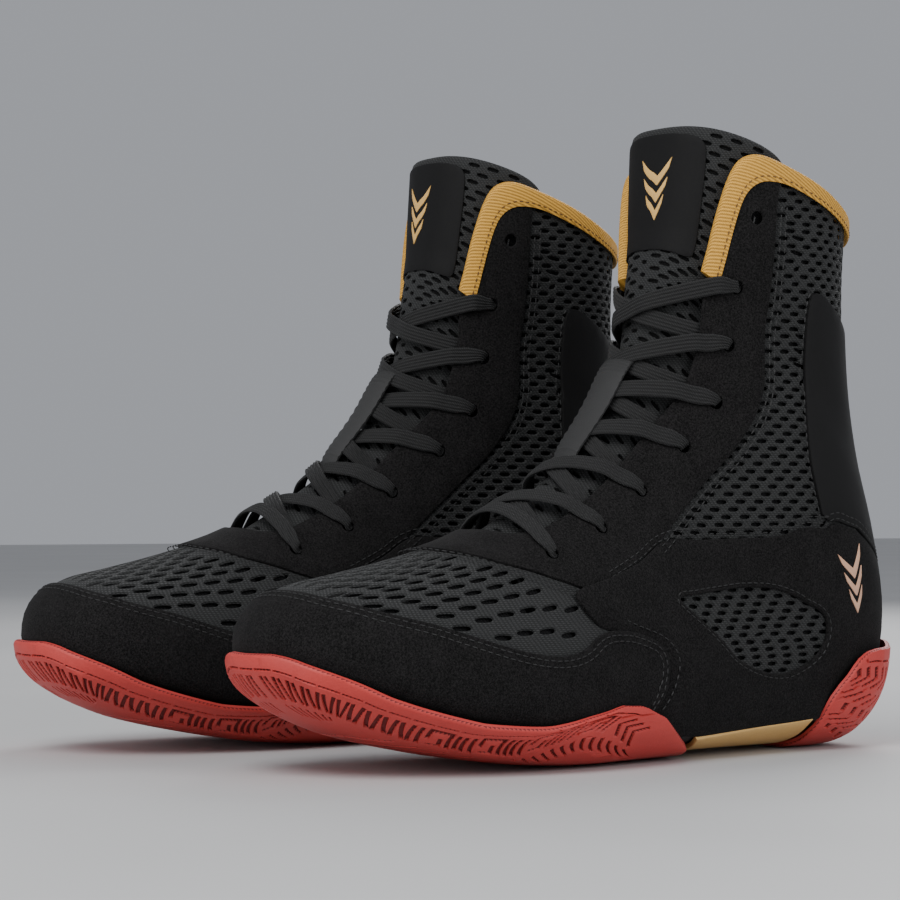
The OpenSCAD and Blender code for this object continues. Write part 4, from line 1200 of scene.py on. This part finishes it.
def build_heel_sole():
    top = [(11.35, 121), (11.55, 122.5), (11.7, 124.5), (11.98, 130), (12.28, 139), (12.55, 149),
        (12.74, 157), (12.85, 165), (12.92, 172), (12.95, 180)]
    front = [(11.15, 121), (10.9, 122.5), (10.7, 124.5), (10.45, 130), (10.25, 139), (10.1, 147),
        (10.05, 157), (10.0, 165), (9.98, 172), (9.98, 180)]
    top = smooth(both_sides(top), 6)
    front = smooth(both_sides(front), 6)
    outline = np.vstack([top, front[::-1]])
    edge, foot = PLAIN.flat(top), PLAIN.flat(front)
    band = Band(PLAIN, edge, foot)
    lines = []
    for p in np.arange(6, band.length - 6, 4.8):
        sign = 1 if p < band.length / 2 else -1
        lines += [[(p - sign * 3, 8.0), (p + sign, 13.5), (p - sign * 3, 19)],
                  [(p, 21.8), (p - sign * 3.6, 28)], [(p, 31), (p + sign * 3.2, 37)],
                  [(p, 40), (p - sign * 3.2, 46)], [(p, 49), (p + sign * 3.2, 54)]]
    grooves = band.grooves(lines, TREAD_WIDTH) + broken_line(band, band.length - 6)
    shape = sheet(PLAIN, PLAIN.flat(outline), rubber_outside, RUBBER_THICK, grooves=grooves, lip=0.9,
                  spacing=3.0, groove_depth=TREAD_DEPTH)
    # The tread groove floors take a darker red: painted shade.
    piece("heel_sole", shape, RUBBER, ["outsole_heel"], floor=0.0, deep=RUBBER_GROOVE_SHADE)


def build_shank():
    near = smooth(both_sides([(7.86, 134.5), (7.95, 146), (8.02, 156), (8.08, 166), (8.1, 180)]), 6)
    far = smooth(both_sides([(10.1, 138.5), (10.02, 146), (9.95, 156), (9.88, 166), (9.86, 180)]), 6)
    outline = np.vstack([near, far[::-1]])

    def surface_depth(s, a):
        return np.minimum(rubber_outside(s, a), SOLE_STACK - 1.15)

    shape = sheet(PLAIN, PLAIN.flat(outline), surface_depth, 1.8, lip=0.6, spacing=3.0)
    piece("shank_plate", shape, GOLD_SHANK, ["shank"])


def paint_hidden_nodes():
    finishes = {"midsole": FOAM, "insole_board": BOARD, "toe_puff": FELT, "heel_stiffener": BOARD,
        "lace_tips": TIP}
    for side in SIDES:
        for node, material in finishes.items():
            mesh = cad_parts[f"{side}_{node}"].data
            mesh.materials.clear()
            mesh.materials.append(material)


# Camera, floor and lights
def build_stage():
    azimuth, elevation, distance = math.radians(56), math.radians(-1.2), 1.03
    centre_y = (STAGGER / 2 - SHIFT_Y) / 1000
    target = Vector((0.058, -0.0455 - centre_y, 0.112))
    back = Vector((math.sin(azimuth) * math.cos(elevation), -math.cos(azimuth) * math.cos(elevation),
                   math.sin(elevation)))
    camera = bpy.data.objects.new("camera", bpy.data.cameras.new("camera"))
    camera.data.lens = 115
    camera.data.sensor_width = 36
    camera.data.clip_start = 0.05
    camera.location = target + back * distance
    camera.rotation_euler = (-back).to_track_quat("-Z", "Y").to_euler()
    bpy.context.scene.collection.objects.link(camera)
    bpy.context.scene.camera = camera

    mesh = bpy.data.meshes.new("floor")
    half, below = 6.0, -0.0005
    corners = [(-half, -half, below), (half, -half, below), (half, half, below), (-half, half, below)]
    mesh.from_pydata(corners, [], [(0, 1, 2, 3)])
    finish = Finish("pale_floor")
    finish.plug(finish.shader.inputs["Base Color"],
                finish.colour(finish.noise(3, 2), 0.3, grey(0.5), 0.7, grey(0.54)))
    finish.plug(finish.shader.inputs["Roughness"], 0.7)
    mesh.materials.append(finish.material)
    floor = bpy.data.objects.new("floor", mesh)
    bpy.context.scene.collection.objects.link(floor)

    world = bpy.data.worlds.new("studio")
    world.use_nodes = True
    sky = world.node_tree.nodes["Background"]
    sky.inputs["Color"].default_value = (0.9, 0.93, 1.0, 1)
    sky.inputs["Strength"].default_value = 0.4
    bpy.context.scene.world = world
    lights = [("key", (0.5, -0.9, 1.15), 0.8, 15), ("fill", (1.5, 0.35, 0.7), 0.9, 10),
              ("back", (-0.7, 1.1, 0.9), 0.8, 12), ("front", (0.1, -1.4, 0.35), 0.8, 5)]
    for name, place, size, power in lights:
        light = bpy.data.lights.new(name, "AREA")
        light.size = size
        light.energy = power
        lamp = bpy.data.objects.new(name, light)
        lamp.location = place
        lamp.rotation_euler = (Vector((0, 0, 0.1)) - Vector(place)).to_track_quat("-Z", "Y").to_euler()
        bpy.context.scene.collection.objects.link(lamp)


build_stage()
build_upper()
build_linings()
build_binding()
build_tongue()
build_laces()
build_keeper()
build_stitches()
build_heel_mark()
build_forefoot_sole()
build_heel_sole()
build_shank()
paint_hidden_nodes()
